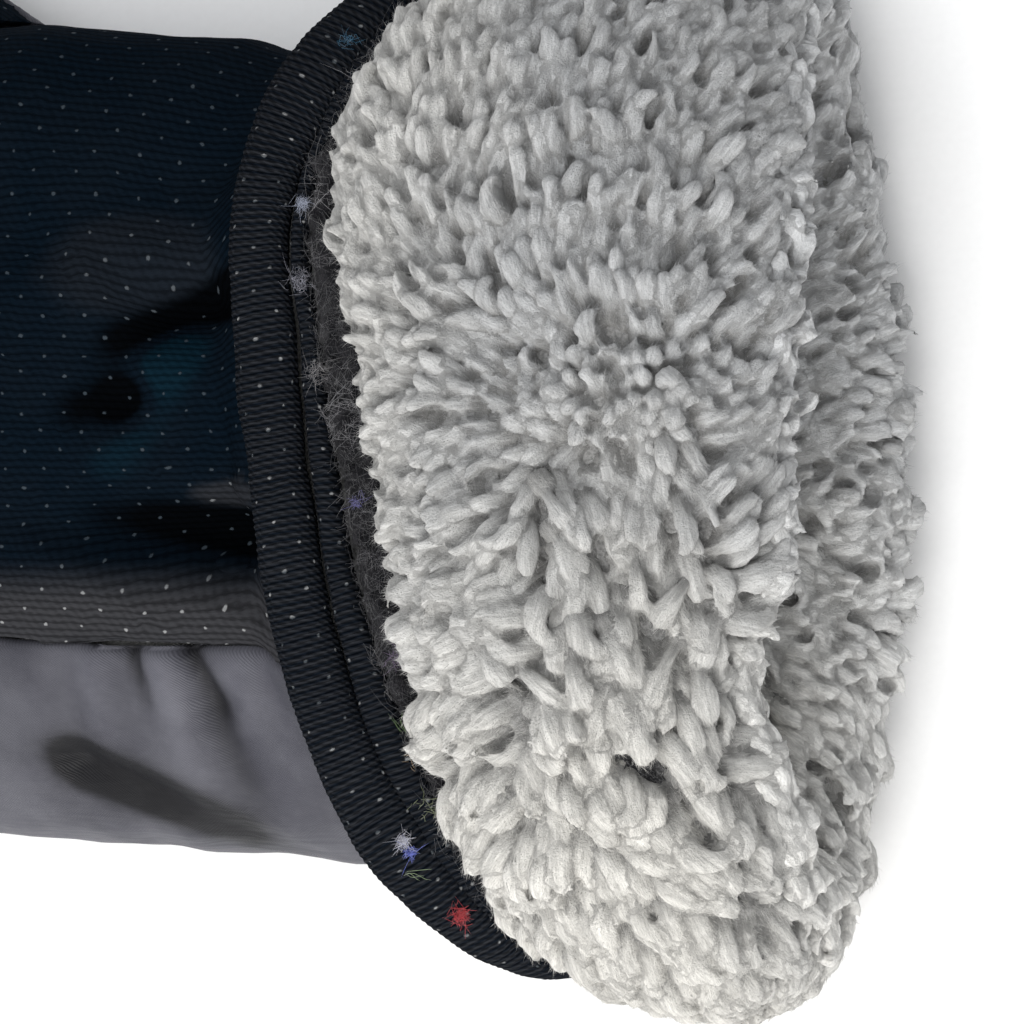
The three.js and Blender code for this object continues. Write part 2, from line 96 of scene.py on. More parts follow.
# A lock of pile from its root to its tip, and a wisp at a lock's tip. Ahead and up are shares of
# its length, half of its half width.
LOCK_PATH = rows(
    "ahead up half",
    (0.0, -0.08, 0.55), (0.14, 0.10, 0.80), (0.32, 0.22, 0.99), (0.52, 0.31, 1.07),
    (0.70, 0.37, 1.0), (0.86, 0.40, 0.82), (0.96, 0.40, 0.54), (1.0, 0.39, 0.0),
)
PLAIN_HALF = np.array([step["half"] for step in LOCK_PATH])
PROUD_HALF = np.array((0.45, 0.52, 0.62, 0.82, 1.05, 1.12, 0.85, 0.0))
WISP_HALF = np.array((0.8, 1.0, 0.85, 0.55, 0.0))
# How far a lock's underside reaches below its root in mm, and how much of that along the lock.
SOLE_DEPTH = -0.3
SOLE_SHARE = np.array([1, 1, 1, 1, 0.95, 0.85, 0.6])
# The dome at each lock's root: its heights are shares of the mat's height, and its half widths
# are shares of the space between locks.
DOME = {"rise": (-0.4, 0.2, 0.62, 0.9, 1.0), "half": (1.12, 1.04, 0.76, 0.42)}

# How the pile grows on each part of the fleece, in mm: the space between locks, their length and
# half width, how high they lift, the size of the tufts that they gather in and how far they do,
# the wisps at each tip, the height of the matted pile between them, the grain that they are melted
# together at and the share of faces kept, how many loose fibres stand on the part, and how much
# paler than the rest it is painted, as painted light.
PILE_PARTS = rows(
    "name apart long half lift tuft gather wisps mat grain keep fibres pale",
    ("pile_upper", 1.86, 6.2, 1.14, 0.86, 3.6, 0.05, 0, 1.6, 0.40, 0.385, 22000, 0.0),
    ("pile_lower", 2.25, 7.4, 1.6, 0.85, 6.5, 0.42, 2, 2.2, 0.42, 0.52, 22000, 0.0),
    ("pile_far_lip", 1.95, 5.6, 1.05, 0.85, 4.6, 0.10, 1, 1.45, 0.46, 0.40, 14000, 2.0),
    ("pile_beneath", 3.0, 6.6, 1.7, 1.0, 6.0, 0.3, 1, 1.2, 0.75, 0.40, 3000, 0.0),
    ("pile_in_mouth", 3.0, 6.2, 1.7, 1.0, 6.0, 0.3, 1, 1.2, 0.75, 0.30, 3000, 0.6),
)
# Where the locks stand up towards the eye, and where they are thick, seen from above, in mm.
UPRIGHT = {"x": 49.0, "y": 9.5, "half_x": 12.0, "half_y": 6.0}
THICK = {"x": 48.0, "y": -7.0, "half_x": 13.0, "half_y": 9.0}
# Locks that stand proud beside the parting, each from its root to its tip seen from above, in mm.
PROUD_LOCKS = rows(
    "at to half rise",
    ((49.0, -26.5), (47.2, -36.0), 1.5, 5.2),
    ((50.8, -29.5), (52.8, -38.6), 1.95, 5.4),
    ((42.5, -24.5), (44.7, -31.6), 1.65, 5.0),
    ((46.8, -20.5), (49.8, -28.6), 1.35, 4.6),
    ((60.2, -18.5), (57.2, -26.6), 1.85, 4.6),
    ((55.0, -22.5), (52.0, -31.6), 1.55, 4.6),
    ((56.4, -25.0), (57.9, -33.6), 1.5, 4.6),
    ((30.0, -21.8), (35.8, -27.2), 1.4, 4.4),
    ((34.5, -25.5), (42.0, -31.5), 1.5, 4.2),
    ((40.0, -8.5), (44.5, -14.5), 1.4, 4.2),
    ((38.0, -3.0), (43.0, -8.5), 1.3, 4.0),
    ((57.0, -14.0), (52.5, -21.0), 1.6, 4.4),
    ((50.0, -11.0), (50.5, -19.0), 1.5, 4.2),
)
# Dark stitches in each bare place.
STITCHES_EACH = 14
# How far from the brushed strip the pile starts, and how much further by the little finger, in mm.
EDGE_GAP = 1.2
EDGE_CLEAR = 5.2
# Roots tried for each square mm, how far a lock's root is sunk, and how much further than its own
# size a bare place or a proud lock's tip keeps other roots away, in mm.
ROOT_TRIES = 5.5
ROOT_SUNK = 0.8
ROOM = {"tip": 0.9, "gap": 1.2}
# Nothing lower than this is part of the upper side's bare places, in mm.
TOP_ONLY = 40.0
# Where the pile's parts meet: across the glove, and along it on the lip that is folded back.
PARTS_AT = {"lower_y": -14.0, "lip_seen": 44.0, "lip_end": 57.0, "lip_under": 58.0}
# How far the skin of the melted locks is pushed in and out, in mm, by the size of what does it.
RELIEF = {"strand": 0.13, "matted": 0.10, "clump": 0.5}
# Loose fibres: how many more are tried than are wanted, the share that stand up, and their sizes.
FIBRE_TRIES = 1.6
FIBRE = {"standing": 0.45, "half": (0.024, 0.04), "sunk": 0.08}
# A lock's section: how uneven it is, and its height as a share of its width.
SECTION_OF_LOCK = {"uneven": 0.12, "least": 0.7, "most": 1.3, "flat": 0.8}
# How much locks curl to the side and sway up, as shares of their length.
CURL, SWAY = 0.14, 0.07
# How far the backing's skin lies below the roots' surface, so that the matted pile covers it, in mm.
GROUND_SUNK = 0.6
# Round hollows in the pile where the backing and its stitches show, each with its radius, in mm.
BARE_PLACES = rows(
    "x y radius",
    (49.8, -38.6, 1.7), (52.4, -40.4, 1.5), (58.8, -53.8, 1.3), (59.6, -56.6, 1.2),
)

# Which way the pile lies on the side that the photograph shows, seen from above. Degrees from
# the way out of the cuff, turning towards the thumb.
LIE_OF_PILE = rows(
    "x y towards",
    (12, 55, 110), (11, 44, 118), (10, 32, 125), (14, 22, 140), (18, 16, 165), (22, 48, 80),
    (26, 36, 75), (33, 42, 85), (40, 34, 92), (35, 26, 95), (46, 48, 70), (55, 52, 55),
    (52, 34, 75), (60, 34, 42), (69, 45, 28), (68, 30, 32), (60, 22, 60), (49, 24, 88),
    (25, 20, 140), (28, 12, 170), (22, 4, 195), (32, -1, 200), (40, 6, 150), (47, 12, 100),
    (46, 6, 275), (53, 4, 275), (41, -3, 292), (46, -6, 285), (52, -8, 264), (50, -15, 278),
    (54, -24, 268), (61, 3, 40), (60, -10, 55), (66, -8, 50), (68, -20, 40), (64, -30, 45),
    (27, -10, 188), (25, -18, 190), (36, -18, 205), (31, -26, 205), (42, -29, 290), (46, -36, 290),
    (28, -34, 215), (34, -41, 245), (43, -43, 300), (53, -45, 298), (60, -49, 290), (33, -52, 262),
    (41, -58, 288), (51, -60, 298), (61, -61, 292), (68, -55, 10), (68, -42, 20), (45, -68, 296),
    (57, -70, 285), (68, -68, 300),
)
# On the far lip the pile fans out, by this many degrees for each mm across the glove.
FAR_LIP_FAN = 1.05
# Where the rim is drawn in, across the glove.
RIM_NOTCH = {"y": -26.0, "wide": 9.0, "deep": 5.6}
# How far the lining is drawn in on the little finger's side, in mm.
SIDE_DRAWN_IN = 2.0
# The crease where the pile parts and the backing shows, as in the solid.
CREASE = [(36, 10), (45, -4), (55, -23), (64, -42), (62, -53)]


# Colours, as shares of red, green and blue light.
PILE_TONES = {
    # The grey tone stands for greyer pile and for painted shade, the next for cleaner pile and for painted
    # light, and the root tone is painted shade at the locks' roots.
    "grey": (0.335, 0.340, 0.346, 1),
    "clean_and_lit": (0.535, 0.521, 0.488, 1),
    "root": (0.200, 0.198, 0.192, 1),
}
GROUND_TONES = {
    # The matted tones are about as dark as the pile's roots: painted shade in the pits between the locks.
    "matted": ((0.15, 0.149, 0.146, 1), (0.27, 0.268, 0.262, 1)),
    "bare": ((0.006, 0.006, 0.008, 1), (0.10, 0.098, 0.10, 1)),
}
CHARCOAL = {
    "deep": (0.002, 0.002, 0.004, 1),
    "lit": (0.018, 0.0175, 0.021, 1),
    "dust": (0.07, 0.069, 0.072, 1),
    "strand": (0.10, 0.098, 0.105, 1),
}
FUZZ_TONES = {"dark": (0.010, 0.010, 0.015), "light": (0.30, 0.295, 0.31)}
STITCH_TONES = {"dark": (0.003, 0.003, 0.004), "light": (0.012, 0.012, 0.014)}


# Small sums on arrays of points.
def unit(v):
    return v / np.maximum(np.linalg.norm(v, axis=-1, keepdims=True), 1e-12)


def smooth_step(low, high, v):
    t = np.clip((v - low) / (high - low), 0, 1)
    return t * t * (3 - 2 * t)


def soft_noise(points, size, seed=0):
    """Smooth noise from -1 to 1 at points in mm, with lumps about size wide."""
    grid = np.random.default_rng(seed).uniform(-1, 1, (32, 32, 32))
    q = points / size
    cell = np.floor(q).astype(int)
    f = q - cell
    f = f * f * (3 - 2 * f)
    total = np.zeros(len(points))
    for corner in range(8):
        step = np.array([(corner >> k) & 1 for k in range(3)])
        share = np.prod(np.where(step, f, 1 - f), axis=1)
        i = (cell + step) % 32
        total += share * grid[i[:, 0], i[:, 1], i[:, 2]]
    return total


def vector_noise(points, size, seed):
    return np.stack([soft_noise(points, size, seed + k) for k in range(3)], axis=1)


def inside_oval(points, oval):
    """One at the middle of an oval seen from above, falling softly to zero past its edge."""
    across = (points[:, 0] - oval["x"]) / oval["half_x"]
    along = (points[:, 1] - oval["y"]) / oval["half_y"]
    return smooth_step(1.5, 0.5, across**2 + along**2)


# Meshes as arrays of points in the glove's frame.
def to_glove(points):
    return (points - ORIGIN) / MM


def to_row(points):
    return points * MM + ORIGIN


def read(items, name, width=1, kind=np.int32):
    """One property of a mesh's items, as an array with a row for each item."""
    values = np.empty(width * len(items), kind)
    items.foreach_get(name, values)
    return values.reshape(-1, width) if width > 1 else values


def points_of(piece):
    return to_glove(read(piece.data.vertices, "co", 3, np.float32).astype(float))


def normals_of(piece):
    return read(piece.data.vertex_normals, "vector", 3, np.float32).astype(float)


def above_floor(points):
    """Lift what lies below the surface that the glove rests on up to it."""
    points[:, 2] = np.maximum(points[:, 2], REST_Z)


def move_points(piece, points):
    piece.data.vertices.foreach_set("co", to_row(points).astype(np.float32).ravel())
    piece.data.update()


def set_number(piece, name, values):
    layer = piece.data.attributes.new(name, "FLOAT", "POINT")
    layer.data.foreach_set("value", np.asarray(values, np.float32))


def set_uv_by_point(piece, uv):
    """A UV map from one pair of numbers for each point."""
    layer = piece.data.uv_layers.new(name="cloth")
    corner = read(piece.data.loops, "vertex_index")
    layer.data.foreach_set("uv", uv[corner].astype(np.float32).ravel())


def new_piece(name, points, quads=(), triangles=(), others=(), uv=None):
    """A mesh from points in mm and its faces. uv holds a pair for each face corner."""
    mesh = bpy.data.meshes.new(name)
    sizes, corners = [], []
    for faces in (quads, triangles, *others):
        if len(faces):
            faces = np.asarray(faces, np.int32)
            sizes.append(np.full(len(faces), faces.shape[1], np.int32))
            corners.append(faces.ravel())
    sizes, corners = np.concatenate(sizes), np.concatenate(corners)
    mesh.vertices.add(len(points))
    mesh.vertices.foreach_set("co", to_row(points).astype(np.float32).ravel())
    mesh.loops.add(len(corners))
    mesh.loops.foreach_set("vertex_index", corners)
    mesh.polygons.add(len(sizes))
    starts = np.concatenate([[0], np.cumsum(sizes)[:-1]]).astype(np.int32)
    mesh.polygons.foreach_set("loop_start", starts)
    mesh.polygons.foreach_set("loop_total", sizes)
    mesh.update(calc_edges=True)
    mesh.validate()
    mesh.shade_smooth()
    if uv is not None:
        mesh.uv_layers.new(name="cloth").data.foreach_set("uv", uv.astype(np.float32).ravel())
    piece = bpy.data.objects.new(name, mesh)
    bpy.context.scene.collection.objects.link(piece)
    return piece


def rings_round(middle, across, over, turn, wide, flat=1.0):
    """Points round middle places, so wide to each side, and flatter the other way."""
    aside = across[..., None, :] * (np.cos(turn) * wide)[..., None]
    return middle[..., None, :] + aside + over[..., None, :] * (np.sin(turn) * wide * flat)[..., None]


def wall_quads(rings, sides):
    """The faces between the neighbouring rings of one tube."""
    i, j = np.meshgrid(np.arange(rings - 1), np.arange(sides), indexing="ij")
    following = (j + 1) % sides
    corners = (i * sides + j, i * sides + following, (i + 1) * sides + following, (i + 1) * sides + j)
    return np.stack(corners, -1).reshape(1, -1, 4)


# How far apart a solid's corners count as one, in mm, and how strongly each round of smoothing pulls.
WELD_WITHIN = 0.01
EVEN_OUT = 0.5


def only(piece):
    """Select one piece and make it the one that tools work on."""
    bpy.ops.object.select_all(action="DESELECT")
    piece.select_set(True)
    bpy.context.view_layer.objects.active = piece


def apply_modifier(piece, kind, **settings):
    only(piece)
    modifier = piece.modifiers.new(kind.lower(), kind)
    for name, value in settings.items():
        setattr(modifier, name, value)
    bpy.ops.object.modifier_apply(modifier=modifier.name)


def soft_copy(name, node, voxel, rounds):
    """A copy of a CAD node as one even skin of small faces, with its facets smoothed away."""
    piece = bpy.data.objects.new(name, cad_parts[node].data.copy())
    bpy.context.scene.collection.objects.link(piece)
    piece.data.materials.clear()
    only(piece)
    bpy.ops.object.mode_set(mode="EDIT")
    bpy.ops.mesh.select_all(action="SELECT")
    bpy.ops.mesh.remove_doubles(threshold=WELD_WITHIN * MM)
    bpy.ops.object.mode_set(mode="OBJECT")
    apply_modifier(piece, "REMESH", mode="VOXEL", voxel_size=voxel * MM, use_smooth_shade=True)
    apply_modifier(piece, "SMOOTH", factor=EVEN_OUT, iterations=rounds)
    return piece


def turn_outward(piece):
    only(piece)
    bpy.ops.object.mode_set(mode="EDIT")
    bpy.ops.mesh.select_all(action="SELECT")
    bpy.ops.mesh.normals_make_consistent(inside=False)
    bpy.ops.object.mode_set(mode="OBJECT")


def dress(piece, material, node=None):
    piece.data.materials.clear()
    piece.data.materials.append(material)
    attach(piece, "root")
    if node:
        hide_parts(node)


# Node trees, built in few words.
class Nodes:
    def __init__(self, tree):
        self.tree = tree

    def add(self, kind, **settings):
        node = self.tree.nodes.new(kind)
        for name, value in settings.items():
            setattr(node, name, value)
        return node

    def feed(self, socket, value):
        if isinstance(value, bpy.types.NodeSocket):
            self.tree.links.new(value, socket)
        elif value is not None:
            socket.default_value = value

    def math(self, operation, a, b=None, c=None, clamp=False):
        node = self.add("ShaderNodeMath", operation=operation, use_clamp=clamp)
        for socket, value in zip(node.inputs, (a, b, c)):
            self.feed(socket, value)
        return node.outputs[0]

    def vector(self, operation, a, b=None):
        node = self.add("ShaderNodeVectorMath", operation=operation)
        self.feed(node.inputs[0], a)
        self.feed(node.inputs[1], b)
        return node.outputs["Value" if operation in ("LENGTH", "DOT_PRODUCT") else 0]

    def noise(self, where, scale, detail=2.0, roughness=0.5):
        node = self.add("ShaderNodeTexNoise")
        self.feed(node.inputs["Vector"], where)
        self.feed(node.inputs["Scale"], scale)
        self.feed(node.inputs["Detail"], detail)
        self.feed(node.inputs["Roughness"], roughness)
        return node.outputs["Fac"]

    def fit(self, value, low, high, to_low=0.0, to_high=1.0):
        node = self.add("ShaderNodeMapRange", interpolation_type="SMOOTHSTEP")
        for socket, v in zip(node.inputs, (value, low, high, to_low, to_high)):
            self.feed(socket, v)
        return node.outputs[0]

    def mix(self, share, a, b, blend="MIX"):
        node = self.add("ShaderNodeMix", data_type="RGBA", blend_type=blend)
        self.feed(node.inputs["Factor"], share)
        self.feed(node.inputs[6], a)
        self.feed(node.inputs[7], b)
        return node.outputs[2]

    def bump(self, height, distance, strength=1.0):
        node = self.add("ShaderNodeBump")
        self.feed(node.inputs["Height"], height)
        self.feed(node.inputs["Distance"], distance)
        self.feed(node.inputs["Strength"], strength)
        return node.outputs[0]

    def attribute(self, name):
        return self.add("ShaderNodeAttribute", attribute_name=name).outputs["Fac"]

    def place(self):
        """Where a point is in the part's own frame, in metres."""
        return self.add("ShaderNodeTexCoord").outputs["Object"]

    def shade(self, colour, value):
        """A colour made lighter or darker by a number."""
        return self.mix(1.0, colour, self.merge(value, value, value), "MULTIPLY")

    def split(self, where):
        node = self.add("ShaderNodeSeparateXYZ")
        self.feed(node.inputs[0], where)
        return node.outputs

    def merge(self, x, y, z=0.0):
        node = self.add("ShaderNodeCombineXYZ")
        for socket, value in zip(node.inputs, (x, y, z)):
            self.feed(socket, value)
        return node.outputs[0]


def new_material(name, roughness, sheen=0.0, sheen_tint=(1, 1, 1), specular=0.5):
    material = bpy.data.materials.new(name)
    material.use_nodes = True
    n = Nodes(material.node_tree)
    shader = material.node_tree.nodes["Principled BSDF"]
    shader.inputs["Roughness"].default_value = roughness
    shader.inputs["Specular IOR Level"].default_value = specular
    shader.inputs["Sheen Weight"].default_value = sheen
    shader.inputs["Sheen Tint"].default_value = (*sheen_tint, 1)
    return material, n, shader


def cloth_map(n):
    """The cloth's own map, in mm along and across the knit."""
    node = n.add("ShaderNodeUVMap", uv_map="cloth")
    return n.vector("MULTIPLY", node.outputs[0], (1000.0, 1000.0, 0.0))


def new_group(name, inputs, outputs):
    """An empty node group with named sockets, and its builder."""
    tree = bpy.data.node_groups.new(name, "ShaderNodeTree")
    kinds = {"value": "NodeSocketFloat", "vector": "NodeSocketVector", "colour": "NodeSocketColor"}
    for direction, sockets in (("INPUT", inputs), ("OUTPUT", outputs)):
        for socket, kind in sockets.items():
            tree.interface.new_socket(socket, in_out=direction, socket_type=kinds[kind])
    n = Nodes(tree)
    return tree, n, n.add("NodeGroupInput").outputs, n.add("NodeGroupOutput").inputs


def use_group(n, tree, **values):
    node = n.add("ShaderNodeGroup", node_tree=tree)
    for name, value in values.items():
        n.feed(node.inputs[name], value)
    return node.outputs


# The knit's make. Lengths are in mm, and lean, speck jitter and the like are shares of a rib or of
# the space between specks. A scale is in lumps for each mm.
KNIT_MAKE = {
    "start": 500.0, "drift": 0.5, "drift_scale": 0.35, "crown": 0.7, "lean": 0.6,
    "grit": 1.3, "grit_scale": 1.5, "grit_stretch": (0.5, 2.4, 1.0), "wear_scale": 0.06,
}
SPECK = {
    "jitter_along": 0.16, "jitter_across": 0.2, "squash": 1.25, "ragged": 0.35, "ragged_scale": 2.2,
    "half": 0.23, "half_more": 0.10, "edge": (-0.12, 0.10), "high": 2.2, "cover": 0.9,
}
# Painted highlight: the bluish gleam put on the knit's lit ridges, a painted reflection.
KNIT_PAINTED_HIGHLIGHT = (0.0020, 0.0088, 0.0150, 1)
KNIT_SHADOW = (0.0006, 0.0009, 0.0014, 1)
SPECK_DARK = (0.030, 0.040, 0.050, 1)
# The specks' colour where the knit is lighter, partly from wear and partly as painted light.
SPECK_WORN_AND_LIT = (0.30, 0.30, 0.30, 1)
# Each knit's dark colour and its lighter colour, which stands partly for wear and partly for painted light;
# on a band it is a painted highlight on the rib crests.
KNITS = {
    "shell_knit": {
        "dark": (0.0016, 0.0042, 0.0078, 1), "wear_and_painted_light": (0.034, 0.0335, 0.036, 1), "rib": 1.05,
        "stitch": 1.5, "apart": 6.3, "rows": 2.65, "relief": 0.065, "lift": 0.75, "tooth": 0.14,
    },
    "band_knit": {
        "dark": (0.0014, 0.0031, 0.0060, 1), "wear_and_painted_light": (0.021, 0.0220, 0.0250, 1), "rib": 0.53,
        "stitch": 1.6, "apart": 4.4, "rows": 3.1, "relief": 0.14, "lift": 0.8, "tooth": 0.5,
    },
}


def knit_group():
    """Fine ribs along the cloth, stitches across them and a staggered field of raised specks."""
    tree, n, given, out = new_group(
        "knit",
        {"Place": "vector", "Rib": "value", "Stitch": "value", "Apart": "value", "Rows": "value",
         "Tooth": "value"},
        {"Height": "value", "Speck": "value", "Wear": "value"},
    )
    # The map starts well below zero, and the remainders need numbers above it.
    place = n.vector("ADD", given["Place"], (KNIT_MAKE["start"], KNIT_MAKE["start"], 0.0))
    wander = n.noise(place, KNIT_MAKE["drift_scale"], 2.0)
    along, across, _ = n.split(place)
    across = n.math("MULTIPLY_ADD", n.math("SUBTRACT", wander, 0.5), KNIT_MAKE["drift"], across)
    rib_at = n.math("DIVIDE", across, given["Rib"])
    wave = n.math("SINE", n.math("MULTIPLY", rib_at, math.pi))
    rib = n.math("POWER", n.math("ABSOLUTE", wave), KNIT_MAKE["crown"])
    # Every other rib has its stitches half a stitch further on.
    odd = n.math("MODULO", n.math("FLOOR", rib_at), 2.0)
    stitch_at = n.math("ADD", n.math("DIVIDE", along, given["Stitch"]), n.math("MULTIPLY", odd, 0.5))
    lean = n.math("MULTIPLY", n.math("FRACT", rib_at), KNIT_MAKE["lean"])
    tooth = n.math("SINE", n.math("MULTIPLY", n.math("ADD", stitch_at, lean), 2 * math.pi))
    height = n.math("MULTIPLY_ADD", tooth, given["Tooth"], rib)
    grit = n.noise(n.vector("MULTIPLY", place, KNIT_MAKE["grit_stretch"]), KNIT_MAKE["grit_scale"], 3.0)
    level = n.math("SUBTRACT", height, KNIT_MAKE["grit"] / 2)
    n.feed(out["Height"], n.math("MULTIPLY_ADD", grit, KNIT_MAKE["grit"], level))
    # Specks stand in rows, each row half a space on from the last.
    row = n.math("DIVIDE", across, given["Rows"])
    odd_row = n.math("MODULO", n.math("FLOOR", row), 2.0)
    column = n.math("ADD", n.math("DIVIDE", along, given["Apart"]), n.math("MULTIPLY", odd_row, 0.5))
    dice = n.add("ShaderNodeTexWhiteNoise", noise_dimensions="2D")
    n.feed(dice.inputs[0], n.merge(n.math("FLOOR", column), n.math("FLOOR", row)))
    thrown = n.split(dice.outputs["Color"])
    off = []
    for place_in, roll, jitter in (
        (column, thrown[0], SPECK["jitter_along"]),
        (row, thrown[1], SPECK["jitter_across"]),
    ):
        middle = n.math("MULTIPLY_ADD", roll, jitter, 0.5 - jitter / 2)
        off.append(n.math("SUBTRACT", n.math("FRACT", place_in), middle))
    off_along = n.math("MULTIPLY", off[0], given["Apart"])
    off_across = n.math("MULTIPLY", n.math("MULTIPLY", off[1], given["Rows"]), SPECK["squash"])
    reach = n.vector("LENGTH", n.merge(off_along, off_across))
    ragged = n.math("SUBTRACT", n.noise(place, SPECK["ragged_scale"]), 0.5)
    reach = n.math("MULTIPLY_ADD", ragged, SPECK["ragged"], reach)
    size = n.math("MULTIPLY_ADD", thrown[2], SPECK["half_more"], SPECK["half"])
    n.feed(out["Speck"], n.fit(n.math("SUBTRACT", reach, size), *SPECK["edge"], 1.0, 0.0))
    n.feed(out["Wear"], n.noise(place, KNIT_MAKE["wear_scale"], 4.0, 0.6))
    return tree


KNIT = knit_group()


def knit_material(name):
    """Black knit. An attribute lightens it by lift: near the seam and on top, partly as wear and partly as
    painted light, and on a band's rib crests as a painted highlight.
    """
    look = KNITS[name]
    material, n, shader = new_material(name, 0.9, specular=0.012)
    knit = use_group(
        n, KNIT, Place=cloth_map(n), Rib=look["rib"], Stitch=look["stitch"], Apart=look["apart"],
        Rows=look["rows"], Tooth=look["tooth"],
    )
    patchy = n.math("MULTIPLY", n.fit(knit["Wear"], 0.3, 0.7), 0.03)
    share = n.math("MULTIPLY_ADD", n.attribute("wear_and_painted_light"), look["lift"], patchy, clamp=True)
    cloth = n.mix(share, look["dark"], look["wear_and_painted_light"])
    # Above zero this attribute paints a fold's shadow into the colour, and below zero a painted highlight
    # on a ridge.
    dusk = n.attribute("dusk")
    cloth = n.mix(n.fit(dusk, -0.15, -0.9), cloth, KNIT_PAINTED_HIGHLIGHT)
    cloth = n.mix(n.fit(dusk, 0.1, 1.0), cloth, KNIT_SHADOW)
    # Painted shade in the knit's furrows and a painted highlight on its crests.
    cloth = n.shade(cloth, n.fit(knit["Height"], 0.2, 1.2, 0.62, 1.25))
    speck = n.mix(share, SPECK_DARK, SPECK_WORN_AND_LIT)
    cover = n.math("MULTIPLY", knit["Speck"], SPECK["cover"])
    n.feed(shader.inputs["Base Color"], n.mix(cover, cloth, speck))
    height = n.math("MULTIPLY_ADD", knit["Speck"], SPECK["high"], knit["Height"])
    n.feed(shader.inputs["Normal"], n.bump(height, look["relief"] * MM))
    n.feed(shader.inputs["Roughness"], n.fit(knit["Speck"], 0.0, 1.0, 0.85, 0.45))
    return material


# The nylon's twill: how steeply it slants, its yarns' spacings in mm, and its two tones.
TWILL = {"slant": 1.35, "yarn": 0.55, "cross": 0.36, "relief": 0.03}
NYLON_TONES = ((0.042, 0.042, 0.052, 1), (0.082, 0.082, 0.096, 1))


def woven_material():
    """Grey nylon in a fine twill, with a soft sheen and a little dust."""
    material, n, shader = new_material(
        "grey_woven", 0.5, sheen=0.04, sheen_tint=(0.85, 0.87, 0.95), specular=0.15
    )
    place = cloth_map(n)
    along, across, _ = n.split(place)
    slant = n.math("ADD", along, n.math("MULTIPLY", across, TWILL["slant"]))
    yarn = n.math("SINE", n.math("MULTIPLY", slant, 2 * math.pi / TWILL["yarn"]))
    back_slant = n.math("SUBTRACT", along, across)
    cross = n.math("SINE", n.math("MULTIPLY", back_slant, 2 * math.pi / TWILL["cross"]))
    height = n.math("MULTIPLY_ADD", cross, 0.35, yarn)
    slub = n.noise(n.merge(n.math("MULTIPLY", along, 0.12), across), 1.4, 3.0)
    height = n.math("MULTIPLY_ADD", slub, 0.8, height)
    patch = n.noise(place, 0.05, 4.0, 0.6)
    cloth = n.mix(n.fit(patch, 0.3, 0.7), *NYLON_TONES)
    thread = n.fit(height, -1.0, 1.6, 0.88, 1.07)
    # Painted shade darkens the nylon in its folds, and a painted highlight lightens it on its ridges.
    thread = n.math("MULTIPLY", thread, n.fit(n.attribute("dusk"), -0.6, 1.0, 1.4, 0.12))
    n.feed(shader.inputs["Base Color"], n.shade(cloth, thread))
    n.feed(shader.inputs["Roughness"], n.fit(slub, 0.3, 0.7, 0.42, 0.58))
    n.feed(shader.inputs["Normal"], n.bump(height, TWILL["relief"] * MM, 0.6))
    return material


# The streaks of fibre on a lock: how many for each mm across it and for each lock along it.
STREAK_SIZES = rows(
    "name across along detail roughness",
    ("Streak", 1.7, 1.5, 2.0, 0.6),
    ("Fine", 7.0, 9.0, 3.0, 0.65),
)
STREAK_SHIFT = 61.0


def pile_group():
    """Streaks of fibre along a lock, from a map in mm across it and in shares along it."""
    tree, n, given, out = new_group(
        "fibre_streaks",
        {"Across": "value", "Along": "value", "Own": "value"},
        {"Streak": "value", "Fine": "value"},
    )
    shift = n.math("MULTIPLY", given["Own"], STREAK_SHIFT)
    for row in STREAK_SIZES:
        across = n.math("MULTIPLY_ADD", given["Across"], row["across"], shift)
        along = n.math("MULTIPLY", given["Along"], row["along"])
        place = n.merge(across, along, shift)
        n.feed(out[row["name"]], n.noise(place, 1.0, row["detail"], row["roughness"]))
    return tree


STREAKS = pile_group()


def pile_colour(n, along, tone):
    """The pile's colour, with painted shade at the locks' roots. It is paler by the hem and by the
    little finger, partly as cleaner pile and partly as painted light, and greyer furthest out of the cuff
    as painted shade.

    The places that this reads are in metres in the part's own frame.
    """
    where = n.place()
    blotch = n.noise(where, 40.0, 3.0, 0.55)
    out_of_cuff, to_thumb, _ = n.split(where)
    clean_and_lit = n.fit(n.math("MULTIPLY_ADD", blotch, 0.05, to_thumb), -0.055, 0.035, 1.0, 0.05)
    by_hem = n.fit(n.math("MULTIPLY_ADD", blotch, 0.03, out_of_cuff), 0.110, 0.142, 0.55, 0.0)
    clean_and_lit = n.math("MAXIMUM", clean_and_lit, by_hem)
    # Greyer furthest out of the cuff: painted shade where less light falls.
    clean_and_lit = n.math("MULTIPLY", clean_and_lit, n.fit(out_of_cuff, 0.138, 0.158, 1.0, 0.55))
    tip = n.mix(clean_and_lit, PILE_TONES["grey"], PILE_TONES["clean_and_lit"])
    # Darker towards the roots: painted shade between the locks.
    colour = n.mix(n.fit(along, -0.1, 0.75), PILE_TONES["root"], tip)
    return n.shade(colour, n.math("MULTIPLY_ADD", tone, 0.16, 0.92))


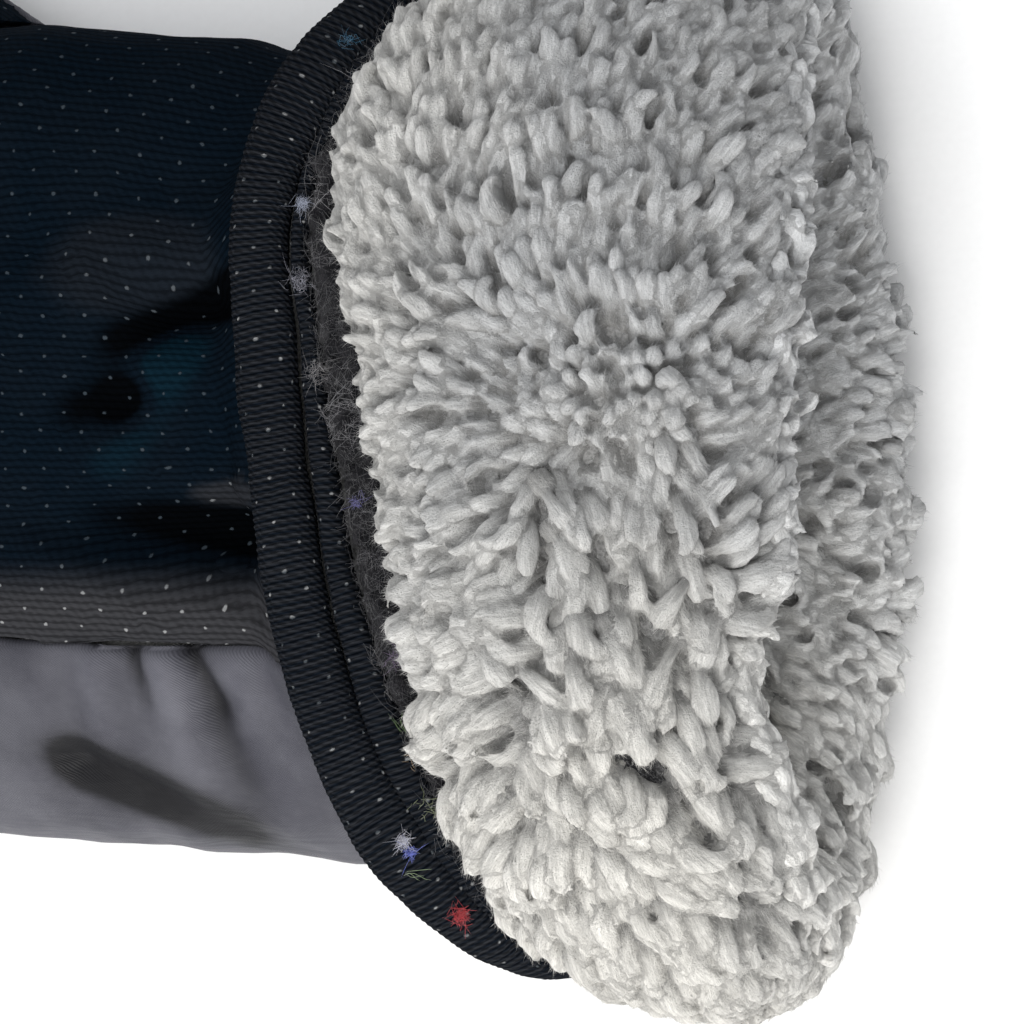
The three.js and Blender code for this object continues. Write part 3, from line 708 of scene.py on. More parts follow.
def pile_material():
    """Off-white polyester pile with strands running along each lock."""
    material, n, shader = new_material(
        "off_white_pile", 0.9, sheen=0.3, sheen_tint=(1.0, 0.98, 0.95), specular=0.15
    )
    across, along, _ = n.split(n.add("ShaderNodeUVMap", uv_map="cloth").outputs[0])
    tone = n.attribute("tone")
    streaks = use_group(n, STREAKS, Across=across, Along=along, Own=tone)
    shade = n.fit(streaks["Streak"], 0.3, 0.7, 0.82, 1.18)
    shade = n.math("MULTIPLY", shade, n.fit(streaks["Fine"], 0.32, 0.68, 0.88, 1.12))
    # Painted shade in the pile's hollows and a painted highlight on its crests.
    shade = n.math("MULTIPLY", shade, n.fit(n.attribute("hollow"), -0.4, 0.45, 1.12, 0.70))
    n.feed(shader.inputs["Base Color"], n.shade(pile_colour(n, along, tone), shade))
    frizz = n.noise(n.place(), 3400.0, 3.0, 0.7)
    height = n.math("MULTIPLY_ADD", streaks["Fine"], 0.6, n.math("MULTIPLY", frizz, 1.5))
    height = n.math("MULTIPLY_ADD", streaks["Streak"], 0.9, height)
    n.feed(shader.inputs["Normal"], n.bump(height, 0.27 * MM, 0.9))
    return material


def pile_fibre_material():
    """Single fibres of the same pile."""
    material, n, shader = new_material("loose_pile_fibre", 0.8, sheen=0.3, specular=0.15)
    n.feed(shader.inputs["Base Color"], pile_colour(n, 1.0, n.attribute("tone")))
    return material


def backing_material():
    """The fleece's ground: matted pile painted grey as shade in the pits between locks, and dark knit where
    the bare attribute says.
    """
    material, n, shader = new_material("pile_ground", 0.95, sheen=0.3)
    where = n.place()
    lumps = n.noise(where, 320.0, 3.0, 0.6)
    fine = n.noise(where, 2200.0, 3.0, 0.65)
    matted = n.mix(n.fit(fine, 0.35, 0.65), *GROUND_TONES["matted"])
    bare = n.mix(n.fit(fine, 0.45, 0.7), *GROUND_TONES["bare"])
    n.feed(shader.inputs["Base Color"], n.mix(n.attribute("bare"), matted, bare))
    height = n.math("MULTIPLY_ADD", fine, 0.5, lumps)
    n.feed(shader.inputs["Normal"], n.bump(height, 0.5 * MM))
    return material


def brushed_material():
    """Charcoal cloth with its surface brushed up, grey where lint has caught in it."""
    material, n, shader = new_material("brushed_charcoal", 0.95, sheen=0.05, specular=0.1)
    where = n.place()
    lumps = n.noise(where, 420.0, 4.0, 0.65)
    dusty = n.noise(where, 150.0, 3.0, 0.6)
    # A painted highlight where the lumps rise and painted shade where they sink.
    colour = n.mix(n.fit(lumps, 0.4, 0.7), CHARCOAL["deep"], CHARCOAL["lit"])
    colour = n.mix(n.fit(dusty, 0.55, 0.75, 0.0, 0.5), colour, CHARCOAL["dust"])
    strands = n.noise(n.vector("MULTIPLY", where, (2.4, 1.0, 1.6)), 2200.0, 3.0, 0.7)
    colour = n.mix(n.fit(strands, 0.55, 0.75, 0.0, 0.5), colour, CHARCOAL["strand"])
    n.feed(shader.inputs["Base Color"], colour)
    height = n.math("MULTIPLY_ADD", strands, 0.5, lumps)
    n.feed(shader.inputs["Normal"], n.bump(height, 1.4 * MM))
    return material


def thread_material(name, dark, light):
    """Fibres and bits, each with its own tone between two colours."""
    material, n, shader = new_material(name, 0.8, sheen=0.3)
    n.feed(shader.inputs["Base Color"], n.mix(n.attribute("tone"), (*dark, 1), (*light, 1)))
    return material


# The shell. Its finer folds, each from one point to another seen from above, in mm. A depth
# below zero is a ridge. The last column is painted shade: how much darker the fold is painted, or how much
# lighter a ridge is painted as a painted highlight below zero.
KNIT_FOLDS = rows(
    "at to wide deep dusk",
    ((-10, 25.2), (-31, 18.0), 3.0, 4.4, 3.0),
    ((-23.5, 15.0), (-32, 1), 4.6, -1.8, -1.6),
    ((-32, 9.0), (-36, 8.4), 3.6, 2.6, 2.6),
    ((-8, -10), (-34, -6.5), 3.4, 4.8, 2.2),
    ((-8, -16), (-44, -14), 3.4, -1.5, -0.2),
    ((-8, -3.6), (-24, -3), 2.4, -1.6, -0.3),
    ((-14, 40), (-46, 33), 6.0, 1.4, 0.3),
    ((-20, 30), (-46, 24), 4.5, -0.9, 0.0),
    ((-66, 20), (-92, 2), 6.0, 1.5, 0.4),
    ((-62, -6), (-96, -12), 5.0, 1.2, 0.4),
    ((-106, 30), (-118, -24), 5.0, 1.1, 0.3),
    ((-126, 38), (-132, -34), 4.5, 1.2, 0.3),
)
WOVEN_FOLDS = rows(
    "at to wide deep dusk",
    ((-30, -25.5), (-28.5, -32), 1.2, 1.2, 1.0),
    ((-21, -25.5), (-17, -33), 1.4, 1.4, 1.0),
    ((-25, -28), (-23, -41), 3.2, -1.7, -0.5),
    ((-12, -30), (-8, -45), 4.0, -1.7, -0.45),
    ((-36, -29), (-36, -38), 3.0, -1.4, -0.4),
    ((-18, -34), (-14, -46), 2.4, 1.6, 0.6),
    ((-40, -42), (-19, -50.5), 2.8, 3.0, 4.0),
    ((-64, -34), (-90, -46), 4.5, 1.6, 0.4),
    ((-58, -28), (-62, -44), 3.4, 0.9, 0.3),
)
# Where the knit is made lighter, partly as wear and partly as painted light, seen from above, in mm.
WEAR_AND_PAINTED_LIGHT_PLACES = rows(
    "x y half_x half_y share",
    (-30.0, 28.0, 13.0, 7.0, 0.17),
    (-14.0, -4.0, 7.5, 1.8, 0.5),
)
# The knit is also made lighter on the little finger's side, from the first y to the second, partly
# as wear and partly as painted light on the side towards the key lamp, and only on top, from the
# first z to the second.
WEAR_AND_PAINTED_LIGHT_SIDE = (-12.5, -20.0)
WEAR_AND_PAINTED_LIGHT_TOP = (24.0, 34.0)
# The sleeve's usual section across the glove, in mm: a squared-off oval about its middle's height.
SECTION = {"half": 57.0, "top": 43.0, "fullness": 0.84, "middle": 19.0}


def arc_table():
    """Arc length round the sleeve's usual section, from its top, by angle about its middle."""
    theta = np.linspace(-math.pi, math.pi, 721)
    power = lambda v: np.sign(v) * np.abs(v) ** SECTION["fullness"]
    y = SECTION["half"] * power(np.sin(theta))
    rise, drop = SECTION["top"] - SECTION["middle"], SECTION["middle"]
    z = power(np.cos(theta)) * np.where(np.cos(theta) > 0, rise, drop)
    step = np.concatenate([[0], np.cumsum(np.hypot(np.diff(y), np.diff(z)))])
    angle = np.unwrap(np.arctan2(y, z))
    length = step - np.interp(0.0, angle, step)
    return angle, length


ARC_ANGLE, ARC_LENGTH = arc_table()


def shell_map(points):
    """Places on the shell's cloth in metres: along the glove, and round it from the top."""
    angle = np.arctan2(points[:, 1], points[:, 2] - SECTION["middle"])
    across = np.interp(angle, ARC_ANGLE, ARC_LENGTH)
    return np.stack([points[:, 0], across], axis=1) * MM


# How folds fade: by how much from their start to their end, how far past their ends they reach
# in widths, and how fast their push turns from up to sideways down the sleeve's side.
FOLD_FADE = 0.6
FOLD_ENDS = 1.6
PUSH_HEIGHT = 22.0
# The shell's edge is held under the hem, so that the folds open no gap there. Along the glove, mm.
HEM_HOLD = {"from": -13.0, "to": -5.0, "share": 0.92}
# Wrinkles of two sizes, with their depths in mm, and where along the glove they grow to full.
CRUMPLE = {
    "stretch": (1.0, 0.45, 1.0), "broad": 13.0, "broad_deep": 0.9, "small": 5.5, "small_deep": 0.35,
    "from": -75.0, "to": -15.0, "least": 0.35, "most_deep": 0.9,
}


def fold_influence(points, folds, key):
    """How deep the folds make each point, or how much painted shade or painted highlight they put on it."""
    total = np.zeros(len(points))
    for fold in folds:
        start, end = np.array(fold["at"], float), np.array(fold["to"], float)
        way = end - start
        length = np.linalg.norm(way)
        off = points[:, :2] - start
        t = off @ way / length**2
        aside = (off[:, 0] * way[1] - off[:, 1] * way[0]) / length
        past = np.maximum(0, np.maximum(-t, t - 1)) * length
        fade = 1 - FOLD_FADE * np.clip(t, 0, 1)
        near = np.exp(-((aside / fold["wide"]) ** 2) - (past / (FOLD_ENDS * fold["wide"])) ** 2)
        total += fold[key] * fade * near
    return total


def press_folds(points, folds, fade_low=15.0, fade_high=25.0):
    """Press folds into the sleeve's wall, in the direction of its middle, above a height."""
    depth = fold_influence(points, folds, "deep")
    aside = points[:, 1] / SECTION["half"] ** 2
    above = (points[:, 2] - SECTION["middle"]) / PUSH_HEIGHT**2
    outward = unit(np.column_stack([0 * depth, aside, above]))
    upper = smooth_step(fade_low, fade_high, points[:, 2])
    held = 1 - HEM_HOLD["share"] * smooth_step(HEM_HOLD["from"], HEM_HOLD["to"], points[:, 0])
    return points - outward * (depth * upper * held)[:, None]


def crumple(points, normals, fine=1.0):
    """Soft wrinkles that run across the glove, deepest near its hem."""
    stretched = points * CRUMPLE["stretch"]
    broad = soft_noise(stretched + 40, CRUMPLE["broad"], 21) * CRUMPLE["broad_deep"]
    small = soft_noise(stretched, CRUMPLE["small"], 22) * CRUMPLE["small_deep"] * fine
    by_hem = smooth_step(CRUMPLE["from"], CRUMPLE["to"], points[:, 0])
    push = (broad + small) * (CRUMPLE["least"] + (1 - CRUMPLE["least"]) * by_hem)
    return points + normals * np.minimum(push, CRUMPLE["most_deep"])[:, None]


def shell_panel(name, node, material, slot, folds=(), fades=(15, 25), voxel=1.0, keep=0.45, fine=1.0):
    """One panel of the shell: its solid's shape in small faces, folded and wrinkled."""
    piece = soft_copy(name, node, voxel, 3)
    points = points_of(piece)
    set_uv_by_point(piece, shell_map(points))
    points = press_folds(points, folds, *fades)
    points = crumple(points, normals_of(piece), fine)
    above_floor(points)
    move_points(piece, points)
    apply_modifier(piece, "DECIMATE", ratio=keep)
    piece.data.shade_smooth()
    points = points_of(piece)
    # Lighter on the little finger's side, at listed places and only on top: partly wear, partly painted
    # light on the side facing the key lamp.
    wear_and_painted_light = smooth_step(*WEAR_AND_PAINTED_LIGHT_SIDE, points[:, 1])
    for row in WEAR_AND_PAINTED_LIGHT_PLACES:
        wear_and_painted_light = np.maximum(wear_and_painted_light, row["share"] * inside_oval(points, row))
    set_number(piece, "wear_and_painted_light", wear_and_painted_light * smooth_step(*WEAR_AND_PAINTED_LIGHT_TOP, points[:, 2]))
    # Painted shade in the folds and painted highlight on the ridges, only above the fold's lower edge.
    set_number(piece, "dusk", fold_influence(points, folds, "dusk") * (points[:, 2] > fades[0]))
    dress(piece, material, node)


# The gusset that closes the index finger's root on the thumb's side. Its outer face follows the
# hand's side wall, at y where x is GUSSET["x"], and swells towards the finger. All in mm.
GUSSET = {
    "back": -178.0, "front": -146.0, "low": 6.0, "high": 21.0, "x": -172.0, "y": 54.0, "slope": 0.088,
    "swell": 1.9, "swell_from": -170.0, "swell_to": -176.0, "tuck": 1.6, "thick": 1.6, "steps": 25,
}


def finger_gusset(material):
    """A small curved patch of knit under the panels' edges, as one closed wall."""
    n = GUSSET["steps"]
    even = np.linspace(0, 1, n)
    s, t = (grid.ravel() for grid in np.meshgrid(even, even, indexing="ij"))
    x = GUSSET["back"] + s * (GUSSET["front"] - GUSSET["back"])
    z = GUSSET["low"] + t * (GUSSET["high"] - GUSSET["low"])
    swell = smooth_step(GUSSET["swell_from"], GUSSET["swell_to"], x) * GUSSET["swell"]
    swell = swell + (x - GUSSET["x"]) * GUSSET["slope"]
    tuck = GUSSET["tuck"] * (np.abs(2 * t - 1) ** 5 + np.abs(2 * s - 1) ** 6)
    outer = np.stack([x, GUSSET["y"] + swell - tuck, z], axis=1)
    points = np.concatenate([outer, outer - (0, GUSSET["thick"], 0)])
    number = np.arange(n * n).reshape(n, n)
    corners = (number[:-1, :-1], number[:-1, 1:], number[1:, 1:], number[1:, :-1])
    face = np.stack([part.ravel() for part in corners], axis=1)
    ring = np.concatenate([number[0], number[1:, -1], number[-1, -2::-1], number[-2:0:-1, 0]])
    following = np.roll(ring, -1)
    rim = np.stack([ring, following, following + n * n, ring + n * n], axis=1)
    piece = new_piece("knit_gusset", points, np.concatenate([face, face[:, ::-1] + n * n, rim]))
    turn_outward(piece)
    set_uv_by_point(piece, shell_map(points))
    set_number(piece, "wear_and_painted_light", np.zeros(len(points)))
    dress(piece, material)


# Bands round the mouth, read off their solids at this many places.
LINE_STEPS = 150


def middle_line(node):
    """A band's middle line and half width, read off its solid at even steps round the mouth."""
    count = LINE_STEPS
    dense = soft_copy("measured", node, 0.9, 1)
    points = points_of(dense)
    bpy.data.objects.remove(dense)
    low, high = points.min(axis=0), points.max(axis=0)
    flat = (points - (low + high) / 2) / (high - low)
    angle = np.arctan2(flat[:, 2], flat[:, 1])
    slot = np.floor((angle + math.pi) / (2 * math.pi) * count).astype(int) % count
    order = np.argsort(slot, kind="stable")
    parts = np.split(points[order], np.searchsorted(slot[order], np.arange(1, count)))
    middle = np.array([(part.min(axis=0) + part.max(axis=0)) / 2 for part in parts])
    half = np.array([np.ptp(part[:, 0]) / 2 for part in parts])
    weights = np.exp(-(np.arange(-4, 5) ** 2) / 5.0)
    weights /= weights.sum()
    blur = lambda v: sum(w * np.roll(v, k, axis=0) for w, k in zip(weights, range(-4, 5)))
    return blur(middle), blur(half)


def even_steps(middle, half, count):
    """The same line at even steps of its length, with its length in mm."""
    closed = np.vstack([middle, middle[:1]])
    run = np.concatenate([[0], np.cumsum(np.linalg.norm(np.diff(closed, axis=0), axis=1))])
    at = np.linspace(0, run[-1], count, endpoint=False)
    line = np.stack([np.interp(at, run, closed[:, k]) for k in range(3)], axis=1)
    return line, np.interp(at, run, np.append(half, half[0])), at, run[-1]


# Steps round the mouth for each rib, and how much of a band's box its girth is.
STEPS_A_RIB = 4
GIRTH_SHARE = 0.85
# A band's ribs and cross-section, in mm: how far apart the ribs are and how high, powers that
# square off its round, how far its ribs stand inside its solid, and lumps of two sizes with the
# bigger one's height and the smaller one's share of it.
BAND = {
    "rib": 1.0, "relief": 0.07, "wide_power": 0.75, "tall_power": 0.8, "inside": 0.05,
    "lump": 9.0, "small_lump": 3.5, "lump_high": 0.4, "small_share": 0.4,
}


def band(name, node, high, material, sides):
    """A rolled band of knit with ribs across it, swept round the mouth where its solid lies."""
    middle, half = middle_line(node)
    _, _, _, length = even_steps(middle, half, 200)
    ribs = round(length / BAND["rib"])
    line, half, at, length = even_steps(middle, half, ribs * STEPS_A_RIB)
    tangent = unit(np.roll(line, -3, axis=0) - np.roll(line, 3, axis=0))
    ahead = np.array((1.0, 0.0, 0.0))
    outward = unit(np.cross(tangent, ahead))
    if (outward * (line - line.mean(axis=0))).sum() < 0:
        outward = -outward
    ahead = unit(np.cross(outward, tangent) * np.sign(np.cross(outward, tangent)[:, :1]))
    turn = np.linspace(0, 2 * math.pi, sides, endpoint=False)
    wide = np.sign(np.cos(turn)) * np.abs(np.cos(turn)) ** BAND["wide_power"]
    tall = np.sign(np.sin(turn)) * np.abs(np.sin(turn)) ** BAND["tall_power"]
    crest = np.cos(2 * math.pi * np.arange(len(line)) / STEPS_A_RIB)
    own = np.repeat(chance.uniform(0.6, 1.2, ribs), STEPS_A_RIB)
    ridge = BAND["relief"] * crest * own
    reach = (half[:, None] + BAND["inside"] + ridge[:, None]) * wide[None]
    rise = (high / 2 - BAND["inside"] + ridge[:, None]) * tall[None]
    points = line[:, None] + ahead[:, None] * reach[..., None] + outward[:, None] * rise[..., None]
    flat = points.reshape(-1, 3)
    big, small = vector_noise(flat, BAND["lump"], 31), vector_noise(flat, BAND["small_lump"], 35)
    flat = flat + big * BAND["lump_high"] + small * BAND["lump_high"] * BAND["small_share"]
    above_floor(flat)
    count = len(line)
    i, j = np.meshgrid(np.arange(count), np.arange(sides), indexing="ij")
    corner = lambda a, b: (a % count) * sides + b % sides
    quads = np.stack([corner(i, j), corner(i + 1, j), corner(i + 1, j + 1), corner(i, j + 1)], axis=-1)
    girth = 2 * (half.mean() * 2 + high) * GIRTH_SHARE
    u = np.stack([at[i], np.append(at, length)[i + 1]], axis=-1)[..., [0, 1, 1, 0]]
    v = np.stack([j, j + 1], axis=-1)[..., [0, 0, 1, 1]] / sides * girth
    # The knit's ribs cross the band, so along the knit is across the band.
    uv = np.stack([v, u], axis=-1).reshape(-1, 2) * MM
    piece = new_piece(name, flat, quads=quads.reshape(-1, 4), uv=uv)
    turn_outward(piece)
    # Painted highlight on the ribs' crests and painted shade in the furrows between them.
    set_number(piece, "wear_and_painted_light", np.repeat(crest, sides) * 0.5 + 0.5)
    dress(piece, material, node)


# The pile, and what its pieces share with the brushed strip.
def sample_surface(piece, dense, wanted):
    """Points spread evenly over the wanted part of a mesh, so many for each square mm."""
    mesh = piece.data
    mesh.calc_loop_triangles()
    corner = read(mesh.loop_triangles, "vertices", 3)
    points, normals = points_of(piece), normals_of(piece)
    middle = points[corner].mean(axis=1)
    a, b, c = (points[corner[:, k]] for k in range(3))
    cross = np.cross(b - a, c - a)
    area = np.linalg.norm(cross, axis=1) / 2 * wanted(middle, unit(cross))
    count = int(area.sum() * dense)
    pick = chance.choice(len(area), count, p=area / area.sum())
    s, t = np.sqrt(chance.random(count)), chance.random(count)
    share = np.stack([1 - s, s * (1 - t), s * t], axis=1)
    at = sum(share[:, k : k + 1] * points[corner[pick, k]] for k in range(3))
    normal = sum(share[:, k : k + 1] * normals[corner[pick, k]] for k in range(3))
    return at, unit(normal)


def spaced_out(points, apart):
    """The indices of points that keep at least their own distance apart."""
    cell = apart.max()
    boxes, kept = {}, []
    keys = np.floor(points / cell).astype(int)
    near = [(i, j, k) for i in (-1, 0, 1) for j in (-1, 0, 1) for k in (-1, 0, 1)]
    for index, (key, point, gap) in enumerate(zip(keys.tolist(), points.tolist(), apart.tolist())):
        crowd = (q for i, j, k in near for q in boxes.get((key[0] + i, key[1] + j, key[2] + k), ()))
        x, y, z = point
        if all((q[0] - x) ** 2 + (q[1] - y) ** 2 + (q[2] - z) ** 2 > gap * gap for q in crowd):
            boxes.setdefault(tuple(key), []).append(point)
            kept.append(index)
    return np.array(kept)


# The brushed strip. Bits caught in it, each with its place, spread, length and half width in mm.
# Straight is how much more they point one way than about, and that way is theirs.
NO_WAY = (0.0, 0.0, 0.0)
# A clump of lint lies flat, so its spread upwards is less.
FLAT = (1, 1, 0.3)
LINT = rows(
    "name x y z spread count long half straight way colour",
    ("lint_teal", 3.5, 57.6, 42.8, 0.4, 26, 0.9, 0.02, 0.0, NO_WAY, (0.02, 0.14, 0.26)),
    ("lint_white", -0.2, 35.2, 49.9, 0.3, 70, 0.75, 0.016, 0.0, NO_WAY, (0.42, 0.46, 0.58)),
    ("lint_pale", 0.0, 24.8, 51.0, 0.8, 70, 1.0, 0.015, 0.0, NO_WAY, (0.32, 0.32, 0.38)),
    ("lint_grey", 2.6, 12.5, 51.8, 0.7, 50, 1.0, 0.015, 0.0, NO_WAY, (0.28, 0.27, 0.28)),
    ("lint_lilac", 8.6, -5.0, 51.4, 0.25, 20, 1.0, 0.022, 0.0, NO_WAY, (0.14, 0.13, 0.36)),
    ("lint_mauve", 14.0, -25.5, 50.6, 0.4, 30, 1.2, 0.02, 0.0, NO_WAY, (0.26, 0.18, 0.32)),
    ("straw_green", 14.1, -35.6, 48.8, 0.5, 5, 2.6, 0.035, 2.5, (-0.6, 0.9, 0.1), (0.12, 0.20, 0.07)),
    ("straw_tan", 15.4, -39.3, 48.9, 0.6, 14, 1.6, 0.035, 1.0, (0.6, 0.8, 0.1), (0.24, 0.16, 0.08)),
    ("straw_olive", 16.8, -45.7, 47.9, 0.9, 22, 1.8, 0.03, 1.2, (0.9, 0.2, 0.2), (0.19, 0.22, 0.10)),
    ("fluff_white", 13.4, -50.5, 46.9, 0.28, 70, 0.9, 0.022, 0.0, NO_WAY, (0.60, 0.60, 0.68)),
    ("fluff_blue", 14.1, -52.0, 46.5, 0.25, 50, 0.8, 0.022, 0.0, NO_WAY, (0.13, 0.17, 0.62)),
    ("straw_pale", 13.0, -55.0, 45.1, 0.25, 4, 3.4, 0.035, 4.0, (1.0, 0.05, 0.0), (0.20, 0.28, 0.13)),
    ("fluff_red", 19.8, -60.7, 42.4, 0.45, 90, 0.8, 0.025, 0.0, NO_WAY, (0.55, 0.015, 0.025)),
)
# Loose hairs for each square mm of the brushed strip, and their lengths and half widths in mm.
FUZZ = {"dense": 2.3, "long": (1.0, 3.4), "half": (0.014, 0.026), "bend": 1.3}
# How rough the strip is: lump sizes and heights in mm, and how far it is raised in all.
ROUGH = {"lump": 3.4, "high": 0.9, "small_lump": 1.3, "small_high": 1.1, "raised": 0.35}
# Corners of a hair's three-sided section.
THREE_SIDES = np.array([0, 2, 4]) * math.pi / 3


def curled(name, at, way, normal, length, half, tone, material, bend=0.9, steps=3):
    """Fibres that arch and curl, each a thin three-sided tube."""
    count = len(at)
    side = unit(np.cross(normal, way))
    t = np.linspace(0, 1, steps + 1)[None, :, None]
    arch = chance.uniform(0.2, 1.0, (count, 1, 1)) * np.sin(t * math.pi * 0.9)
    curl = chance.normal(0, bend, (count, 1, 1)) * t * t
    curl = curl + chance.normal(0, bend / 2, (count, 1, 1)) * np.sin(t * 5)
    bow = way[:, None] * t + normal[:, None] * arch * 0.35 + side[:, None] * curl * 0.5
    line = at[:, None] + length[:, None, None] * bow
    tangent = unit(np.gradient(line, axis=1))
    across = unit(np.cross(tangent, normal[:, None] + 0.01))
    over = np.cross(tangent, across)
    thick = half[:, None, None] * np.array([0.8] + [1.0] * (steps - 1) + [0.35])[None, :, None]
    points = rings_round(line, across, over, THREE_SIDES, thick).reshape(-1, 3)
    above_floor(points)
    per = 3 * (steps + 1)
    base = (np.arange(count) * per)[:, None, None]
    quads = base + wall_quads(steps + 1, 3)
    ends = base + np.array([[2, 1, 0], [per - 3, per - 2, per - 1]])[None]
    piece = new_piece(name, points, quads.reshape(-1, 4), ends.reshape(-1, 3))
    set_number(piece, "tone", np.repeat(tone, per))
    dress(piece, material)


def brushed_edge(cloth):
    """The strip where the lining is sewn in, brushed up into fuzz, with lint caught in it."""
    strip = soft_copy("brushed_strip", "brushed_edge", 0.6, 2)
    points, normals = points_of(strip), normals_of(strip)
    rough = soft_noise(points, ROUGH["lump"], 71) * ROUGH["high"]
    rough = rough + soft_noise(points, ROUGH["small_lump"], 72) * ROUGH["small_high"] + ROUGH["raised"]
    move_points(strip, points + normals * rough[:, None])
    dress(strip, cloth, "brushed_edge")
    at, normal = sample_surface(strip, FUZZ["dense"], lambda points, normals: normals[:, 2] > -0.1)
    count = len(at)
    way = unit(vector_noise(at, 2.5, 75) + chance.normal(0, 0.6, (count, 3)))
    way = unit(way - (way * normal).sum(axis=1, keepdims=True) * normal * 0.93)
    # The matted places are grey with lint, and most of them lie on the thumb's side.
    matted = smooth_step(0.05, 0.7, soft_noise(at, 4.0, 77) + 0.5 * soft_noise(at, 1.5, 78))
    tone = np.clip(0.04 + 0.75 * matted + chance.normal(0, 0.10, count), 0, 1)
    tone *= 0.4 + 0.6 * smooth_step(-10, 22, at[:, 1]) + 0.3 * smooth_step(-26, -40, at[:, 1])
    fuzz = thread_material("brushed_fuzz", FUZZ_TONES["dark"], FUZZ_TONES["light"])
    half = chance.uniform(*FUZZ["half"], count)
    length = chance.uniform(*FUZZ["long"], count)
    curled("brushed_fuzz", at, way, normal, length, half, tone, fuzz, FUZZ["bend"])
    lint()


def lint():
    """Bits of coloured fluff and straw caught on the brushed strip."""
    for row in LINT:
        count = row["count"]
        scatter = chance.normal(0, row["spread"], (count, 3)) * FLAT
        at = np.array((row["x"], row["y"], row["z"])) + scatter
        way = unit(chance.normal(0, 1, (count, 3)) * FLAT + np.array(row["way"]) * row["straight"])
        up = np.tile((0.37, 0.0, 0.93), (count, 1))
        length = row["long"] * chance.uniform(0.6, 1.2, count)
        colour = row["colour"]
        material = thread_material(row["name"], tuple(0.6 * part for part in colour), colour)
        half, tone = np.full(count, row["half"]), chance.random(count)
        bend = 0.2 if row["straight"] else 2.2
        curled(row["name"], at, way, up, length, half, tone, material, bend, 5)


# The pulled-out layer of the lining lies outside this squared-off oval across the glove, in mm.
LAYERS = {"y": -0.5, "half_y": 62.0, "z": 30.0, "half_z": 19.5, "power": 2.4}


def outer_layer(points):
    """Above zero on the pulled-out layer, below zero on the layer folded back inside it."""
    aside = np.abs(points[:, 1] - LAYERS["y"]) / LAYERS["half_y"]
    above = np.abs(points[:, 2] - LAYERS["z"]) / LAYERS["half_z"]
    return aside ** LAYERS["power"] + above ** LAYERS["power"] - 1


def pile_direction(points, normals):
    """The way the pile lies at each point: as listed where the photograph shows it, else outward."""
    table = np.array([[row["x"], row["y"], row["towards"]] for row in LIE_OF_PILE])
    far = (points[:, None, 0] - table[None, :, 0]) ** 2 + (points[:, None, 1] - table[None, :, 1]) ** 2
    # Each row of the table counts less the further off it is, and about the same within 3 mm.
    weight = 1 / (far + 9.0) ** 2.2
    turn = np.radians(table[:, 2])
    way = np.stack([weight @ np.cos(turn), weight @ np.sin(turn)], axis=1)
    way = np.column_stack([unit(way), np.full(len(points), -0.45)])
    fan = np.radians(FAR_LIP_FAN * points[:, 1] + 4)
    plain = np.column_stack([np.cos(fan), np.sin(fan), 0 * fan])
    plain = plain + vector_noise(points, 14.0, 41) * 0.5
    seen = smooth_step(-0.25, 0.2, normals[:, 2])[:, None]
    outside = (outer_layer(points) > 0)[:, None]
    way = np.where(outside, unit(way) * seen + unit(plain) * (1 - seen), unit(plain))
    way = way + vector_noise(points, 6.0, 45) * 0.35
    way = way - (way * normals).sum(axis=1, keepdims=True) * normals
    return unit(way)


def from_crease(points):
    """Distance in mm from the parting in the pile, seen from above."""
    best = np.full(len(points), 99.0)
    for a, b in zip(CREASE[:-1], CREASE[1:]):
        a, b = np.array(a, float), np.array(b, float)
        t = np.clip(((points[:, :2] - a) @ (b - a)) / ((b - a) @ (b - a)), 0, 1)
        best = np.minimum(best, np.linalg.norm(points[:, :2] - a - t[:, None] * (b - a), axis=1))
    return best


def lock_lines(at, normal, way, length, lift, reach):
    """The middle lines of locks, one for each root, each with its own curl and sway.

    Length is in mm, lift makes a lock stand higher, and reach makes it lean out less.
    """
    count = len(at)
    side = np.cross(normal, way)
    ahead = np.array([row["ahead"] for row in LOCK_PATH])
    up = np.array([row["up"] for row in LOCK_PATH])
    share = np.linspace(0, 1, len(LOCK_PATH))[None]
    curl = chance.normal(0, CURL, (count, 1)) * np.sin(1.15 * math.pi * share)
    sway = chance.normal(0, SWAY, (count, 1)) * share**2
    line = (
        at[:, None]
        + way[:, None] * (ahead[None] * (length * reach)[:, None])[..., None]
        + normal[:, None] * ((up[None] * lift[:, None] + sway) * length[:, None])[..., None]
        + side[:, None] * (curl * length[:, None])[..., None]
    )
    return line + vector_noise(line.reshape(-1, 3), 4.0, 51).reshape(line.shape) * 0.5


def gather_tips(line, roots, tuft, pull):
    """Draw the tips of neighbouring locks together, so that they lie in tufts."""
    centres = spaced_out(roots, np.full(len(roots), tuft))
    tree = KDTree(len(centres))
    for index, centre in enumerate(centres):
        tree.insert(roots[centre], index)
    tree.balance()
    own = centres[[tree.find(root)[1] for root in roots]]
    shift = line[own, -1] - line[:, -1]
    along = np.linspace(0, 1, line.shape[1]) ** 1.6
    return line + shift[:, None] * (along[None, :, None] * pull)


